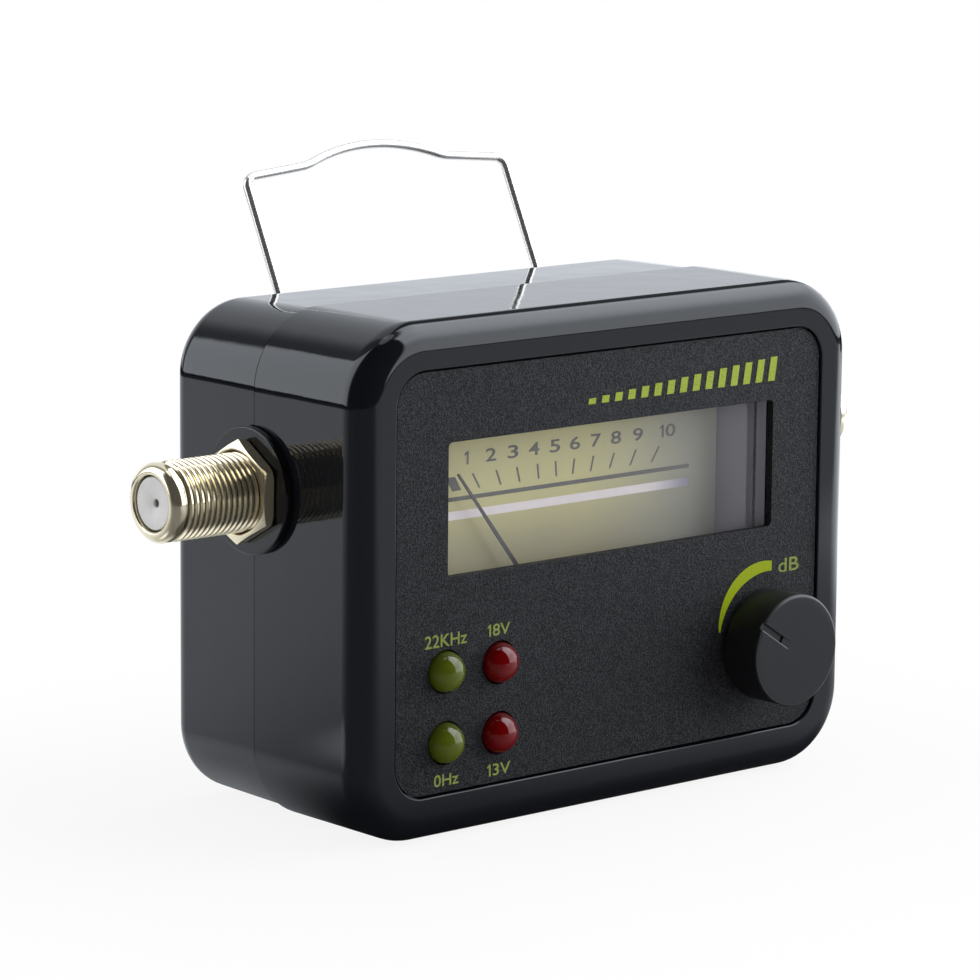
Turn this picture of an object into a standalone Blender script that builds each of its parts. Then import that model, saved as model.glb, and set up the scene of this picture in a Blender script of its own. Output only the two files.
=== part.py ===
"""Satellite signal meter: a two-shell casing with a moving-coil meter, four lamps, a gain knob,
an F connector on each side and a wire bail on the back. Metres, +Z up, front towards -Y.
The origin is the centre of the casing's flat underside."""

import math

import bmesh
import bpy
from mathutils import Matrix

# Driving sizes of the casing
casing_width = 0.0803
casing_height = 0.0620
casing_depth = 0.0370
seam_depth = 0.0198
corner_radius = 0.0096
front_edge_radius = 0.0033
rear_edge_radius = 0.0030
shell_wall = 0.0020
shell_step = 0.00035
front_wall = 0.0030
lip_length = 0.0015
lip_thickness = 0.0010

# Clearances shared by every fit
seat_gap = 0.0003
thread_gap = 0.0002
running_gap = 0.0004
cut_overrun = 0.0010
weld_distance = 0.00001

# Front plate, set in from the casing's outline by its margin
plate_margin = 0.00585
plate_thickness = 0.0010
plate_recess = 0.0003
plate_corner_radius = 0.0040

# Meter window in the plate, its height above the casing's middle
window_width = 0.0530
window_height = 0.0160
window_rise = 0.0006
window_corner_radius = 0.0006

# Meter housing, a wide head over a narrower block for the movement
meter_wall = 0.0024
meter_head_width = 0.0538
meter_head_top = 0.0214
meter_head_bottom = 0.0040
meter_block_width = 0.0276
meter_block_bottom = 0.0276
meter_flange = 0.0010
meter_flange_thickness = 0.0008
meter_neck_inset = 0.0003
glass_thickness = 0.0012
card_setback = 0.0064
card_thickness = 0.0008
head_back_thickness = 0.0015
meter_floor = 0.0012
meter_stand_off = 0.0017

# Meter movement, sized by the block that it sits in
needle_top_gap = 0.0009
needle_stop_gap = 0.00167
needle_thickness = 0.0004
needle_root_width = 0.0010
needle_tip_width = 0.0005
needle_tail_length = 0.0055
needle_tail_width = 0.0016
needle_card_gap = 0.0013
needle_hub_radius = 0.0016
needle_hub_height = 0.0010
staff_radius = 0.0006
staff_nose = 0.0010
hairspring_turns = 3
hairspring_inner_radius = 0.0010
hairspring_pitch = 0.0008
hairspring_wire_radius = 0.00015
hairspring_gap = 0.0006
ring_wall_gap = 0.0009
ring_floor_gap = 0.0006
ring_top_gap = 0.0005
ring_width = 0.0040
coil_gap = 0.0005
coil_strip = 0.0009
coil_bar = 0.0006
coil_width = 0.0024
core_foot_width = 0.0030
bridge_width = 0.0024
bridge_thickness = 0.0006
bridge_leg_width = 0.0012
ring_post_radius = 0.0014
jewel_radius = 0.0018
jewel_height = 0.0006
jewel_hole_depth = 0.0012
staff_end_gap = 0.0003
terminal_radius = 0.0006
terminal_spread = 0.0150
terminal_drop = 0.0220
terminal_socket_depth = 0.0008
terminal_fit = 0.0003

# Circuit board, clamped between the two shells' bosses
board_thickness = 0.0016
board_behind_seam = 0.0007
board_side_gap = 0.0005
board_tail = 0.0006
lead_hole_radius = 0.0006

# Bosses and casing screws
boss_radius = 0.0024
screw_radius = 0.0010
screw_hole_radius = 0.0013
screw_head_radius = 0.0019
screw_head_height = 0.0014
screw_recess_radius = 0.0021
screw_recess_depth = 0.0022
screw_tip_depth = 0.0120
drive_slot_length = 0.0024
drive_slot_width = 0.0006
drive_slot_depth = 0.0007

# Lamps, in a square group left of the meter's block and below the middle
lamp_block_gap = 0.0016
lamp_group_drop = 0.0150
lamp_spacing_x = 0.0084
lamp_spacing_z = 0.0086
lamp_radius = 0.0025
lamp_length = 0.0086
lamp_flange_radius = 0.0029
lamp_flange_height = 0.0010
lamp_hole_radius = 0.00265
lamp_proud = 0.0022
lead_spacing = 0.00254
lead_width = 0.0005

# Gain control: potentiometer, shaft and knob. The share places them between the meter's block
# and the plate's right side.
knob_place_share = 0.56098
knob_drop = 0.0141
knob_radius = 0.00705
knob_height = 0.0058
knob_edge_radius = 0.00055
knob_plate_gap = 0.0005
knob_skirt = 0.0014
knob_hub_wall = 0.0012
knob_top = 0.0020
knob_bore_top = 0.0011
knob_groove_width = 0.0011
knob_groove_depth = 0.0006
knob_groove_inner_radius = 0.0020
knob_rest_angle = math.radians(-56.8)
shaft_radius = 0.0030
shaft_fit = 0.00015
shaft_end_gap = 0.0004
bushing_radius = 0.0036
bushing_length = 0.0050
control_width = 0.0097
control_height = 0.0110
control_depth = 0.0066
control_socket_depth = 0.0010
control_pin_spacing = 0.0025
control_pin_width = 0.0008
control_pin_inset = 0.0008

# F connectors, on the seam, above the middle
connector_rise = 0.0098
barrel_radius = 0.0047625
thread_root_radius = 0.0045
barrel_reach = 0.01515
collar_length = 0.0020
collar_edge_radius = 0.0006
barrel_bore_radius = 0.00335
barrel_hole_radius = 0.0050
insulator_radius = 0.00315
insulator_setback = 0.00033
insulator_hole_radius = 0.0009
contact_radius = 0.0007
contact_setback = 0.0007
contact_socket_radius = 0.0004
contact_socket_depth = 0.0050
contact_pin_radius = 0.0004
contact_pin_length = 0.0040
inner_flange_radius = 0.0062
inner_flange_thickness = 0.0014
inner_body_radius = 0.0046
inner_body_length = 0.0030
inner_body_floor = 0.0012
washer_radius = 0.0077
washer_thickness = 0.0009
nut_width = 0.0110
nut_thickness = 0.0015
nut_turn = math.radians(28.6)

# Wire bail and the lugs that hold it on the back
bail_wire_radius = 0.00055
bail_half_width = 0.0212
bail_height = 0.0173
bail_hump_height = 0.0027
bail_hump_half_width = 0.0111
bail_bend_radius = 0.0015
bail_foot_length = 0.0044
bail_foot_bend_radius = 0.0010
bail_rest_lean = math.radians(26.2)
lug_drop = 0.0028
lug_stand_off = 0.0014
lug_radius = 0.0015
lug_length = 0.0038
lug_side_gap = 0.00045
lug_bore_clearance = 0.00012

# Parts on the back of the board
amplifier_size = (0.0098, 0.0064, 0.0034)
regulator_radius = 0.0024
regulator_height = 0.0048
regulator_flat_setback = 0.0010
capacitor_radius = 0.0040
capacitor_height = 0.0100
capacitor_edge_radius = 0.0006
choke_radius = 0.0018
choke_length = 0.0062
choke_end_radius = 0.0005
component_edge_radius = 0.0004

# Where those parts sit, as shares of the board's half width and half height
amplifier_place_shares = (0.00, 0.22)
regulator_place_shares = (0.45, -0.38)
capacitor_place_shares = (0.00, -0.30)
choke_place_shares = (-0.50, 0.30)

# Facets
round_sides = 24
small_round_sides = 16
tiny_round_sides = 8
corner_segments = 6
edge_segments = 4
wire_resolution = 2
arc_steps = 5
lug_steps = 10
hump_steps = 14
hairspring_steps = 14
smooth_angle = math.radians(30)
flat_angle = math.radians(1)

# Places worked out from the sizes above
half_width = casing_width / 2
half_depth = casing_depth / 2
middle = casing_height / 2
rear_half_width = half_width - shell_step
rear_half_height = middle - shell_step
inner_half_width = half_width - shell_wall
plate_width = casing_width - 2 * plate_margin
plate_height = casing_height - 2 * plate_margin
board_front = seam_depth + board_behind_seam
board_back = board_front + board_thickness
glass_front = plate_recess + plate_thickness + seat_gap
card_front = glass_front + card_setback
meter_case_front = card_front + card_thickness + seat_gap
meter_case_back = board_front - meter_stand_off
needle_front = card_front - needle_card_gap - needle_thickness
needle_back = needle_front + needle_thickness
spring_middle = needle_back + hairspring_gap + hairspring_wire_radius
coil_front = spring_middle + hairspring_wire_radius + hairspring_gap
floor_front = meter_case_back - meter_floor
jewel_front = floor_front - jewel_height
coil_back = jewel_front - running_gap
core_front = coil_front + coil_bar + running_gap
core_back = coil_back - coil_bar - running_gap
knob_back = plate_recess - knob_plate_gap
knob_front = knob_back - knob_height
control_back = board_front - seat_gap
control_front = control_back - control_depth
lamp_tip = plate_recess - lamp_proud
lamp_base = lamp_tip + lamp_length
lip_inner = shell_wall + seat_gap + lip_thickness
boss_x = half_width - corner_radius
boss_z = middle - lip_inner - seat_gap - boss_radius
half_block_width = meter_block_width / 2
ring_radius = half_block_width - meter_wall - ring_wall_gap
ring_inner_radius = ring_radius - ring_width
coil_radius = ring_inner_radius - coil_gap
core_radius = coil_radius - coil_strip - coil_gap
pivot_z = middle - meter_block_bottom + meter_wall + ring_floor_gap + ring_radius
head_inner_top = middle + meter_head_top - meter_wall
head_inner_bottom = middle - meter_head_bottom + meter_wall
needle_length = head_inner_top - needle_top_gap - pivot_z
needle_reach = half_block_width - meter_wall - needle_stop_gap
needle_rest_angle = -math.atan2(needle_reach, head_inner_bottom - pivot_z)
lamp_group_x = -half_block_width - lamp_block_gap - lamp_flange_radius - lamp_spacing_x / 2
knob_x = half_block_width + knob_place_share * (plate_width / 2 - half_block_width)
knob_z = middle - knob_drop
connector_z = middle + connector_rise
hinge_y = half_depth + lug_stand_off
hinge_z = casing_height - lug_drop


def depth(distance):
    """The Y of a point this far behind the casing's front face."""
    return distance - half_depth


def clear_scene():
    for obj in list(bpy.data.objects):
        bpy.data.objects.remove(obj, do_unlink=True)


def new_collection(name):
    collection = bpy.data.collections.new(name)
    bpy.context.scene.collection.children.link(collection)
    return collection


def material(name, color, roughness, metallic=0.0, alpha=1.0):
    made = bpy.data.materials.new(name)
    made.use_nodes = True
    shader = made.node_tree.nodes["Principled BSDF"]
    shader.inputs["Base Color"].default_value = (*color, 1)
    shader.inputs["Roughness"].default_value = roughness
    shader.inputs["Metallic"].default_value = metallic
    shader.inputs["Alpha"].default_value = alpha
    return made


clear_scene()
parts = new_collection("satellite_signal_meter")
cutters = new_collection("cutters")

gloss_black = material("gloss_black_plastic", (0.012, 0.013, 0.015), 0.12)
plate_black = material("textured_black_plate", (0.030, 0.031, 0.034), 0.70)
knob_black = material("knob_black_plastic", (0.030, 0.032, 0.036), 0.45)
clear_plastic = material("clear_plastic", (0.80, 0.82, 0.82), 0.05, alpha=0.25)
case_black = material("meter_case_black", (0.02, 0.02, 0.02), 0.55)
card_cream = material("dial_card", (0.52, 0.50, 0.33), 0.75)
needle_grey = material("needle_lacquer", (0.06, 0.06, 0.06), 0.45)
copper = material("copper_wire", (0.72, 0.30, 0.12), 0.35, 1.0)
bronze = material("phosphor_bronze", (0.60, 0.38, 0.16), 0.35, 1.0)
soft_iron = material("soft_iron", (0.35, 0.35, 0.36), 0.45, 1.0)
brass = material("brass", (0.70, 0.52, 0.24), 0.30, 1.0)
board_green = material("board_laminate", (0.03, 0.16, 0.06), 0.50)
nickel = material("champagne_nickel", (0.72, 0.66, 0.52), 0.28, 1.0)
steel = material("zinc_steel", (0.55, 0.56, 0.58), 0.35, 1.0)
chrome = material("bright_wire", (0.85, 0.85, 0.86), 0.12, 1.0)
white_plastic = material("white_insulator", (0.82, 0.82, 0.80), 0.45)
rubber = material("black_washer", (0.015, 0.015, 0.016), 0.40)
red_lamp = material("red_lamp", (0.30, 0.01, 0.01), 0.20)
green_lamp = material("green_lamp", (0.16, 0.22, 0.02), 0.20)
control_blue = material("control_housing", (0.04, 0.08, 0.20), 0.45)
shaft_white = material("shaft_plastic", (0.75, 0.75, 0.72), 0.50)
chip_black = material("component_black", (0.02, 0.02, 0.02), 0.50)
sleeve_blue = material("capacitor_sleeve", (0.02, 0.04, 0.20), 0.35)
choke_green = material("choke_lacquer", (0.04, 0.25, 0.15), 0.40)


def add_object(name, data, look, location=(0, 0, 0), rotation=(0, 0, 0)):
    """A visible sub-part."""
    obj = bpy.data.objects.new(name, data)
    obj.location = location
    obj.rotation_euler = rotation
    data.materials.append(look)
    parts.objects.link(obj)
    return obj


def helper(name, data, location=(0, 0, 0), rotation=(0, 0, 0)):
    """A shape that only cuts or joins another."""
    obj = bpy.data.objects.new(name, data)
    obj.location = location
    obj.rotation_euler = rotation
    obj.hide_render = True
    obj.display_type = "WIRE"
    cutters.objects.link(obj)
    return obj


def boolean(target, other, operation):
    step = target.modifiers.new(other.name, "BOOLEAN")
    step.operation = operation
    step.solver = "EXACT"
    step.object = other


def cut(target, name, data, location=(0, 0, 0), rotation=(0, 0, 0)):
    boolean(target, helper(name, data, location, rotation), "DIFFERENCE")


def join(target, name, data, location=(0, 0, 0), rotation=(0, 0, 0)):
    boolean(target, helper(name, data, location, rotation), "UNION")


def finish_mesh(bm, name, smooth=False):
    mesh = bpy.data.meshes.new(name)
    bm.to_mesh(mesh)
    bm.free()
    if smooth:
        mesh.shade_smooth()
        mesh.set_sharp_from_angle(angle=smooth_angle)
    return mesh


def along_depth(edge):
    """Whether an edge runs front to back."""
    a, b = edge.verts
    return abs(a.co.x - b.co.x) < weld_distance and abs(a.co.z - b.co.z) < weld_distance


def block(name, x_range, y_range, z_range, corner=0.0, front_edge=0.0, back_edge=0.0):
    """A box between these limits. Its four edges along Y take the corner radius,
    and the rims of its front and back faces their own edge radii."""
    bm = bmesh.new()
    bmesh.ops.create_cube(bm, size=1)
    ranges = (x_range, y_range, z_range)
    middle_point = [sum(limits) / 2 for limits in ranges]
    spans = [limits[1] - limits[0] for limits in ranges]
    bmesh.ops.scale(bm, vec=spans, verts=bm.verts)
    bmesh.ops.translate(bm, vec=middle_point, verts=bm.verts)
    if corner > 0:
        edges = [edge for edge in bm.edges if along_depth(edge)]
        bmesh.ops.bevel(
            bm, geom=edges, offset=corner, segments=corner_segments, profile=0.5, affect="EDGES"
        )
    for radius, y in ((front_edge, y_range[0]), (back_edge, y_range[1])):
        if radius > 0:
            rim = [edge for edge in bm.edges if all(abs(v.co.y - y) < weld_distance for v in edge.verts)]
            bmesh.ops.bevel(
                bm, geom=rim, offset=radius, segments=edge_segments, profile=0.5, affect="EDGES"
            )
    return finish_mesh(bm, name, smooth=corner > 0)


def centred_block(name, width, height, near, far, **edges):
    """A block centred on the casing's middle, from one depth to another."""
    return block(
        name,
        (-width / 2, width / 2),
        (depth(near), depth(far)),
        (middle - height / 2, middle + height / 2),
        **edges,
    )


def round_bar(name, radius, length, sides=round_sides):
    """A cylinder from the origin along +Z."""
    bm = bmesh.new()
    bmesh.ops.create_cone(
        bm, cap_ends=True, segments=sides, radius1=radius, radius2=radius, depth=length
    )
    bmesh.ops.translate(bm, vec=(0, 0, length / 2), verts=bm.verts)
    return finish_mesh(bm, name, smooth=True)


def facing_front(turn=0.0):
    """Turns +Z to face the front, then turns clockwise as the front shows it."""
    return (math.pi / 2, turn, 0)


def facing_side(side):
    """Turns +Z to face left (-1) or right (+1)."""
    return (0, side * math.pi / 2, 0)


def cut_hole(target, name, radius, near, far, x, z, sides=round_sides):
    cut(target, name, round_bar(name, radius, far - near, sides), (x, depth(far), z), facing_front())


def join_post(target, name, radius, near, far, x, z, sides=round_sides):
    join(target, name, round_bar(name, radius, far - near, sides), (x, depth(far), z), facing_front())


def turned(obj_name, profile, look, location, rotation, sides=round_sides, closed=False):
    """A turned sub-part. The profile holds (radius, height) points from top to bottom down
    the outer side. A closed one goes back up the bore."""
    mesh = bpy.data.meshes.new(obj_name)
    points = [(radius, 0, height) for radius, height in profile]
    edges = [(i, i + 1) for i in range(len(points) - 1)]
    if closed:
        edges.append((len(points) - 1, 0))
    mesh.from_pydata(points, edges, [])
    obj = add_object(obj_name, mesh, look, location, rotation)
    screw = obj.modifiers.new("turn", "SCREW")
    screw.steps = sides
    screw.render_steps = sides
    screw.use_merge_vertices = True
    screw.merge_threshold = weld_distance
    screw.use_normal_calculate = False
    return obj


def arc(centre, radius, start, end, steps):
    """Points on an arc, in degrees from +X towards the second axis."""
    angles = [math.radians(start + (end - start) * i / steps) for i in range(steps + 1)]
    return [(centre[0] + radius * math.cos(a), centre[1] + radius * math.sin(a)) for a in angles]


def flat_mesh(name, outline, thickness):
    """A flat outline with this thickness, behind the XY plane of its object."""
    curve = bpy.data.curves.new(name, "CURVE")
    curve.dimensions = "2D"
    curve.fill_mode = "BOTH"
    curve.extrude = thickness / 2
    spline = curve.splines.new("POLY")
    spline.points.add(len(outline) - 1)
    for point, (x, y) in zip(spline.points, outline):
        point.co = (x, y, 0, 1)
    spline.use_cyclic_u = True
    return curve_mesh(curve, name, Matrix.Translation((0, 0, -thickness / 2)))


def curve_mesh(curve, name, shift=None):
    """The welded mesh of a curve."""
    guide = bpy.data.objects.new(name + "_guide", curve)
    bpy.context.scene.collection.objects.link(guide)
    graph = bpy.context.evaluated_depsgraph_get()
    mesh = bpy.data.meshes.new_from_object(guide.evaluated_get(graph))
    bpy.data.objects.remove(guide, do_unlink=True)
    bm = bmesh.new()
    bm.from_mesh(mesh)
    bmesh.ops.remove_doubles(bm, verts=bm.verts, dist=weld_distance)
    bmesh.ops.dissolve_limit(bm, angle_limit=flat_angle, verts=bm.verts, edges=bm.edges)
    bmesh.ops.recalc_face_normals(bm, faces=bm.faces)
    if shift is not None:
        bmesh.ops.transform(bm, matrix=shift, verts=bm.verts)
    bm.to_mesh(mesh)
    bm.free()
    return mesh


def signs():
    """The four corners, as (side, level) pairs."""
    return [(side, level) for level in (1, -1) for side in (-1, 1)]


def corner_name(side, level):
    return ("left" if side < 0 else "right") + ("_upper" if level > 0 else "_lower")


def meter_head(name, margin, near, far):
    """The box of the meter housing's head, grown by a margin."""
    half_head = meter_head_width / 2 + margin
    bottom = middle - meter_head_bottom - margin
    top = middle + meter_head_top + margin
    return block(name, (-half_head, half_head), (depth(near), depth(far)), (bottom, top))


def meter_tub(name, margin, near, far, top):
    """The box of the narrower block below the head, grown by a margin, up to this height."""
    half_block = half_block_width + margin
    bottom = middle - meter_block_bottom - margin
    return block(name, (-half_block, half_block), (depth(near), depth(far)), (bottom, top))


def lamp_places():
    """Each lamp's name, place and look: green on the left, red on the right."""
    for side, color, look in ((-1, "green", green_lamp), (1, "red", red_lamp)):
        for level, row in ((1, "upper"), (-1, "lower")):
            x = lamp_group_x + side * lamp_spacing_x / 2
            z = middle - lamp_group_drop + level * lamp_spacing_z / 2
            yield f"led_{color}_{row}", x, z, look


def front_shell():
    shell = add_object(
        "front_shell",
        centred_block(
            "front_shell",
            casing_width,
            casing_height,
            0,
            seam_depth,
            corner=corner_radius,
            front_edge=front_edge_radius,
        ),
        gloss_black,
    )
    cut(
        shell,
        "front_cavity",
        centred_block(
            "front_cavity",
            casing_width - 2 * shell_wall,
            casing_height - 2 * shell_wall,
            front_wall,
            seam_depth + cut_overrun,
            corner=corner_radius - shell_wall,
        ),
    )
    cut(
        shell,
        "plate_pocket",
        centred_block(
            "plate_pocket",
            plate_width + 2 * seat_gap,
            plate_height + 2 * seat_gap,
            -cut_overrun,
            glass_front,
            corner=plate_corner_radius + seat_gap,
        ),
    )
    behind_wall = front_wall + cut_overrun
    cut(shell, "meter_hole", meter_head("meter_hole", seat_gap - meter_neck_inset, 0, behind_wall))
    for name, x, z, _ in lamp_places():
        cut_hole(shell, name + "_hole", lamp_hole_radius, -cut_overrun, behind_wall, x, z)
    shaft_hole_radius = shaft_radius + running_gap
    cut_hole(shell, "shaft_hole", shaft_hole_radius, -cut_overrun, behind_wall, knob_x, knob_z)
    for side, level in signs():
        label = corner_name(side, level)
        x = side * boss_x
        z = middle + level * boss_z
        boss_end = board_front - seat_gap
        join_post(shell, "front_boss_" + label, boss_radius, front_wall - seat_gap, boss_end, x, z)
        cut_hole(
            shell,
            "front_boss_hole_" + label,
            screw_hole_radius,
            screw_tip_depth - cut_overrun,
            boss_end + cut_overrun,
            x,
            z,
            small_round_sides,
        )
    cut_connector_holes(shell, "front")
    return shell


def cut_connector_holes(shell, label):
    """Half a round hole on each side of the seam, level with the connectors."""
    for side in (-1, 1):
        start = side * (inner_half_width - lip_thickness - 2 * cut_overrun)
        length = shell_wall + lip_thickness + 3 * cut_overrun
        cut(
            shell,
            f"{label}_connector_hole_{side}",
            round_bar("connector_hole", barrel_hole_radius, length),
            (start, depth(seam_depth), connector_z),
            facing_side(side),
        )


def rear_shell():
    rim = seam_depth + seat_gap
    shell = add_object(
        "rear_shell",
        centred_block(
            "rear_shell",
            2 * rear_half_width,
            2 * rear_half_height,
            rim,
            casing_depth,
            corner=corner_radius - shell_step,
            back_edge=rear_edge_radius,
        ),
        gloss_black,
    )
    lip_outer = shell_wall + seat_gap
    join(
        shell,
        "seam_lip",
        centred_block(
            "seam_lip",
            casing_width - 2 * lip_outer,
            casing_height - 2 * lip_outer,
            seam_depth - lip_length,
            rim + lip_length,
            corner=corner_radius - lip_outer,
        ),
    )
    cut(
        shell,
        "lip_cavity",
        centred_block(
            "lip_cavity",
            casing_width - 2 * lip_inner,
            casing_height - 2 * lip_inner,
            seam_depth - lip_length - cut_overrun,
            board_back + seat_gap,
            corner=corner_radius - lip_inner,
        ),
    )
    cut(
        shell,
        "rear_cavity",
        centred_block(
            "rear_cavity",
            2 * (rear_half_width - shell_wall),
            2 * (rear_half_height - shell_wall),
            board_back,
            casing_depth - shell_wall,
            corner=corner_radius - shell_step - shell_wall,
            back_edge=rear_edge_radius - shell_wall,
        ),
    )
    for side, level in signs():
        add_rear_boss(shell, side, level)
    cut_connector_holes(shell, "rear")
    for side in (-1, 1):
        add_bail_lug(shell, side)
    return shell


def add_rear_boss(shell, side, level):
    label = corner_name(side, level)
    x = side * boss_x
    z = middle + level * boss_z
    boss_start = board_back + seat_gap
    wall_inside = casing_depth - shell_wall + seat_gap
    join_post(shell, "rear_boss_" + label, boss_radius, boss_start, wall_inside, x, z)
    cut_hole(
        shell,
        "rear_boss_hole_" + label,
        screw_hole_radius,
        boss_start - cut_overrun,
        casing_depth + cut_overrun,
        x,
        z,
        small_round_sides,
    )
    cut_hole(
        shell,
        "screw_recess_" + label,
        screw_recess_radius,
        casing_depth - screw_recess_depth,
        casing_depth + cut_overrun,
        x,
        z,
    )


def lug_centre():
    """How far from the middle the middle of a lug is, inside the bail's leg."""
    return bail_half_width - bail_wire_radius - lug_side_gap - lug_length / 2


def add_bail_lug(shell, side):
    """A round-backed ear on the back that the bail's foot turns in."""
    far = side * lug_centre() + lug_length / 2
    root = hinge_y - depth(casing_depth - shell_wall + seat_gap)
    outline = [(-root, -lug_radius), *arc((0, 0), lug_radius, -90, 90, lug_steps), (-root, lug_radius)]
    along_hinge = (math.pi / 2, 0, math.pi / 2)
    lug = flat_mesh("lug", outline, lug_length)
    join(shell, f"lug_{side}", lug, (far, hinge_y, hinge_z), along_hinge)
    bore_length = lug_length + 2 * lug_side_gap
    bore = round_bar("lug_bore", bail_wire_radius + lug_bore_clearance, bore_length, small_round_sides)
    bore_start = far + lug_side_gap - bore_length
    cut(shell, f"lug_bore_{side}", bore, (bore_start, hinge_y, hinge_z), facing_side(1))


def front_plate():
    plate_back = plate_recess + plate_thickness
    plate = add_object(
        "front_plate",
        centred_block(
            "front_plate", plate_width, plate_height, plate_recess, plate_back, corner=plate_corner_radius
        ),
        plate_black,
    )
    window = block(
        "window_opening",
        (-window_width / 2, window_width / 2),
        (depth(-cut_overrun), depth(plate_back + cut_overrun)),
        (middle + window_rise, middle + window_rise + window_height),
        corner=window_corner_radius,
    )
    cut(plate, "window_opening", window)
    behind = plate_back + cut_overrun
    for name, x, z, _ in lamp_places():
        cut_hole(plate, name + "_plate_hole", lamp_hole_radius, -cut_overrun, behind, x, z)
    shaft_hole_radius = shaft_radius + running_gap
    cut_hole(plate, "plate_shaft_hole", shaft_hole_radius, -cut_overrun, behind, knob_x, knob_z)


def meter_window():
    """The clear front of the meter, open at the back. Its head looks out through the front wall,
    and its flange lies behind that wall."""
    back = meter_case_front - seat_gap
    behind = back + cut_overrun
    flange_front = front_wall + seat_gap
    flange_back = flange_front + meter_flange_thickness
    flange_middle = (flange_front + flange_back) / 2
    flange = meter_head("meter_window", meter_flange, flange_front, flange_back)
    window = add_object("meter_window", flange, clear_plastic)
    join(window, "tub_flange", meter_tub("tub_flange", meter_flange, flange_front, flange_back, middle))
    join(window, "window_neck", meter_head("window_neck", -meter_neck_inset, glass_front, flange_middle))
    join(window, "window_walls", meter_head("window_walls", 0, flange_middle, back))
    join(window, "tub_walls", meter_tub("tub_walls", 0, flange_middle, back, middle))
    cavity_front = glass_front + glass_thickness
    cut(window, "head_cavity", meter_head("head_cavity", -meter_wall, cavity_front, behind))
    cut(window, "neck_cavity", meter_tub("neck_cavity", -meter_wall, flange_back, behind, middle))


def dial_card():
    half_card = meter_head_width / 2 - meter_wall - seat_gap
    card = block(
        "dial_card",
        (-half_card, half_card),
        (depth(card_front), depth(card_front + card_thickness)),
        (head_inner_bottom + seat_gap, head_inner_top - seat_gap),
    )
    add_object("dial_card", card, card_cream)


def meter_case():
    """The meter's back: a plate behind the card, and a tub behind the movement."""
    head_back = meter_case_front + head_back_thickness
    case = add_object("meter_case", meter_head("meter_case", 0, meter_case_front, head_back), case_black)
    cavity_top = pivot_z + ring_radius + ring_top_gap
    tub_top = max(head_inner_bottom, cavity_top + head_back_thickness)
    join(case, "meter_tub", meter_tub("meter_tub", 0, meter_case_front, meter_case_back, tub_top))
    inside = meter_case_front - cut_overrun
    cut(case, "tub_cavity", meter_tub("tub_cavity", -meter_wall, inside, floor_front, cavity_top))
    post_reach = (ring_inner_radius + ring_radius) / 2 * math.sqrt(1 / 2)
    for side, level in signs():
        post_x = side * post_reach
        post_z = pivot_z + level * post_reach
        name = "ring_post_" + corner_name(side, level)
        post_start = core_back + seat_gap
        post_end = floor_front + seat_gap
        join_post(case, name, ring_post_radius, post_start, post_end, post_x, post_z, tiny_round_sides)
    join_post(case, "rear_jewel", jewel_radius, jewel_front, floor_front + seat_gap, 0, pivot_z)
    hole_back = jewel_front + jewel_hole_depth
    jewel_hole_radius = staff_radius + seat_gap
    cut_hole(case, "jewel_hole", jewel_hole_radius, jewel_front - cut_overrun, hole_back, 0, pivot_z)
    socket_front = meter_case_back - terminal_socket_depth
    socket_back = meter_case_back + cut_overrun
    for side in (-1, 1):
        cut_hole(
            case,
            f"terminal_socket_{side}",
            terminal_radius + terminal_fit,
            socket_front,
            socket_back,
            side * terminal_spread / 2,
            middle - terminal_drop,
            small_round_sides,
        )


def meter_terminals():
    """Two pins that carry the meter's current to the board."""
    start = meter_case_back - terminal_socket_depth + seat_gap
    end = board_back + board_tail
    for side, label in ((-1, "left"), (1, "right")):
        add_object(
            "meter_terminal_" + label,
            round_bar("meter_terminal", terminal_radius, end - start, small_round_sides),
            brass,
            (side * terminal_spread / 2, depth(end), middle - terminal_drop),
            facing_front(),
        )


def pointer_needle():
    """A tapered blade with a balance tail, on a hub round the staff. It turns on its origin."""
    half_root = needle_root_width / 2
    half_tip = needle_tip_width / 2
    half_tail = needle_tail_width / 2
    outline = [
        (-half_tip, needle_length),
        (-half_root, 0),
        (-half_tail, -needle_tail_length),
        (half_tail, -needle_tail_length),
        (half_root, 0),
        (half_tip, needle_length),
    ]
    place = (0, depth(needle_front), pivot_z)
    turn = facing_front(needle_rest_angle)
    blade = flat_mesh("pointer_needle", outline, needle_thickness)
    needle = add_object("pointer_needle", blade, needle_grey, place, turn)
    hub_back = needle_front + (needle_thickness + needle_hub_height) / 2
    hub_place = (0, depth(hub_back), pivot_z)
    join(needle, "needle_hub", round_bar("hub", needle_hub_radius, needle_hub_height), hub_place, turn)
    bore_length = needle_hub_height + 2 * cut_overrun
    bore = round_bar("hub_bore", staff_radius + thread_gap, bore_length, small_round_sides)
    cut(needle, "needle_bore", bore, (0, depth(hub_back + cut_overrun), pivot_z), turn)


def moving_coil():
    """A wound frame round the magnet core, with a staff at each end. It turns on its origin."""
    half_coil = coil_width / 2
    place = (0, 0, pivot_z)
    turn = (0, needle_rest_angle, 0)
    frame = block(
        "moving_coil",
        (-coil_radius, coil_radius),
        (depth(coil_front), depth(coil_back)),
        (-half_coil, half_coil),
    )
    coil = add_object("moving_coil", frame, copper, place, turn)
    inner = coil_radius - coil_strip
    opening = block(
        "coil_opening",
        (-inner, inner),
        (depth(coil_front + coil_bar), depth(coil_back - coil_bar)),
        (-half_coil - cut_overrun, half_coil + cut_overrun),
    )
    cut(coil, "coil_opening", opening, place, turn)
    front_end = needle_front - staff_nose
    back_end = jewel_front + jewel_hole_depth - staff_end_gap
    front_bar = coil_front + coil_bar / 2
    back_bar = coil_back - coil_bar / 2
    sides = small_round_sides
    join_post(coil, "front_staff", staff_radius, front_end, front_bar, 0, pivot_z, sides)
    join_post(coil, "back_staff", staff_radius, back_bar, back_end, 0, pivot_z, sides)


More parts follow.
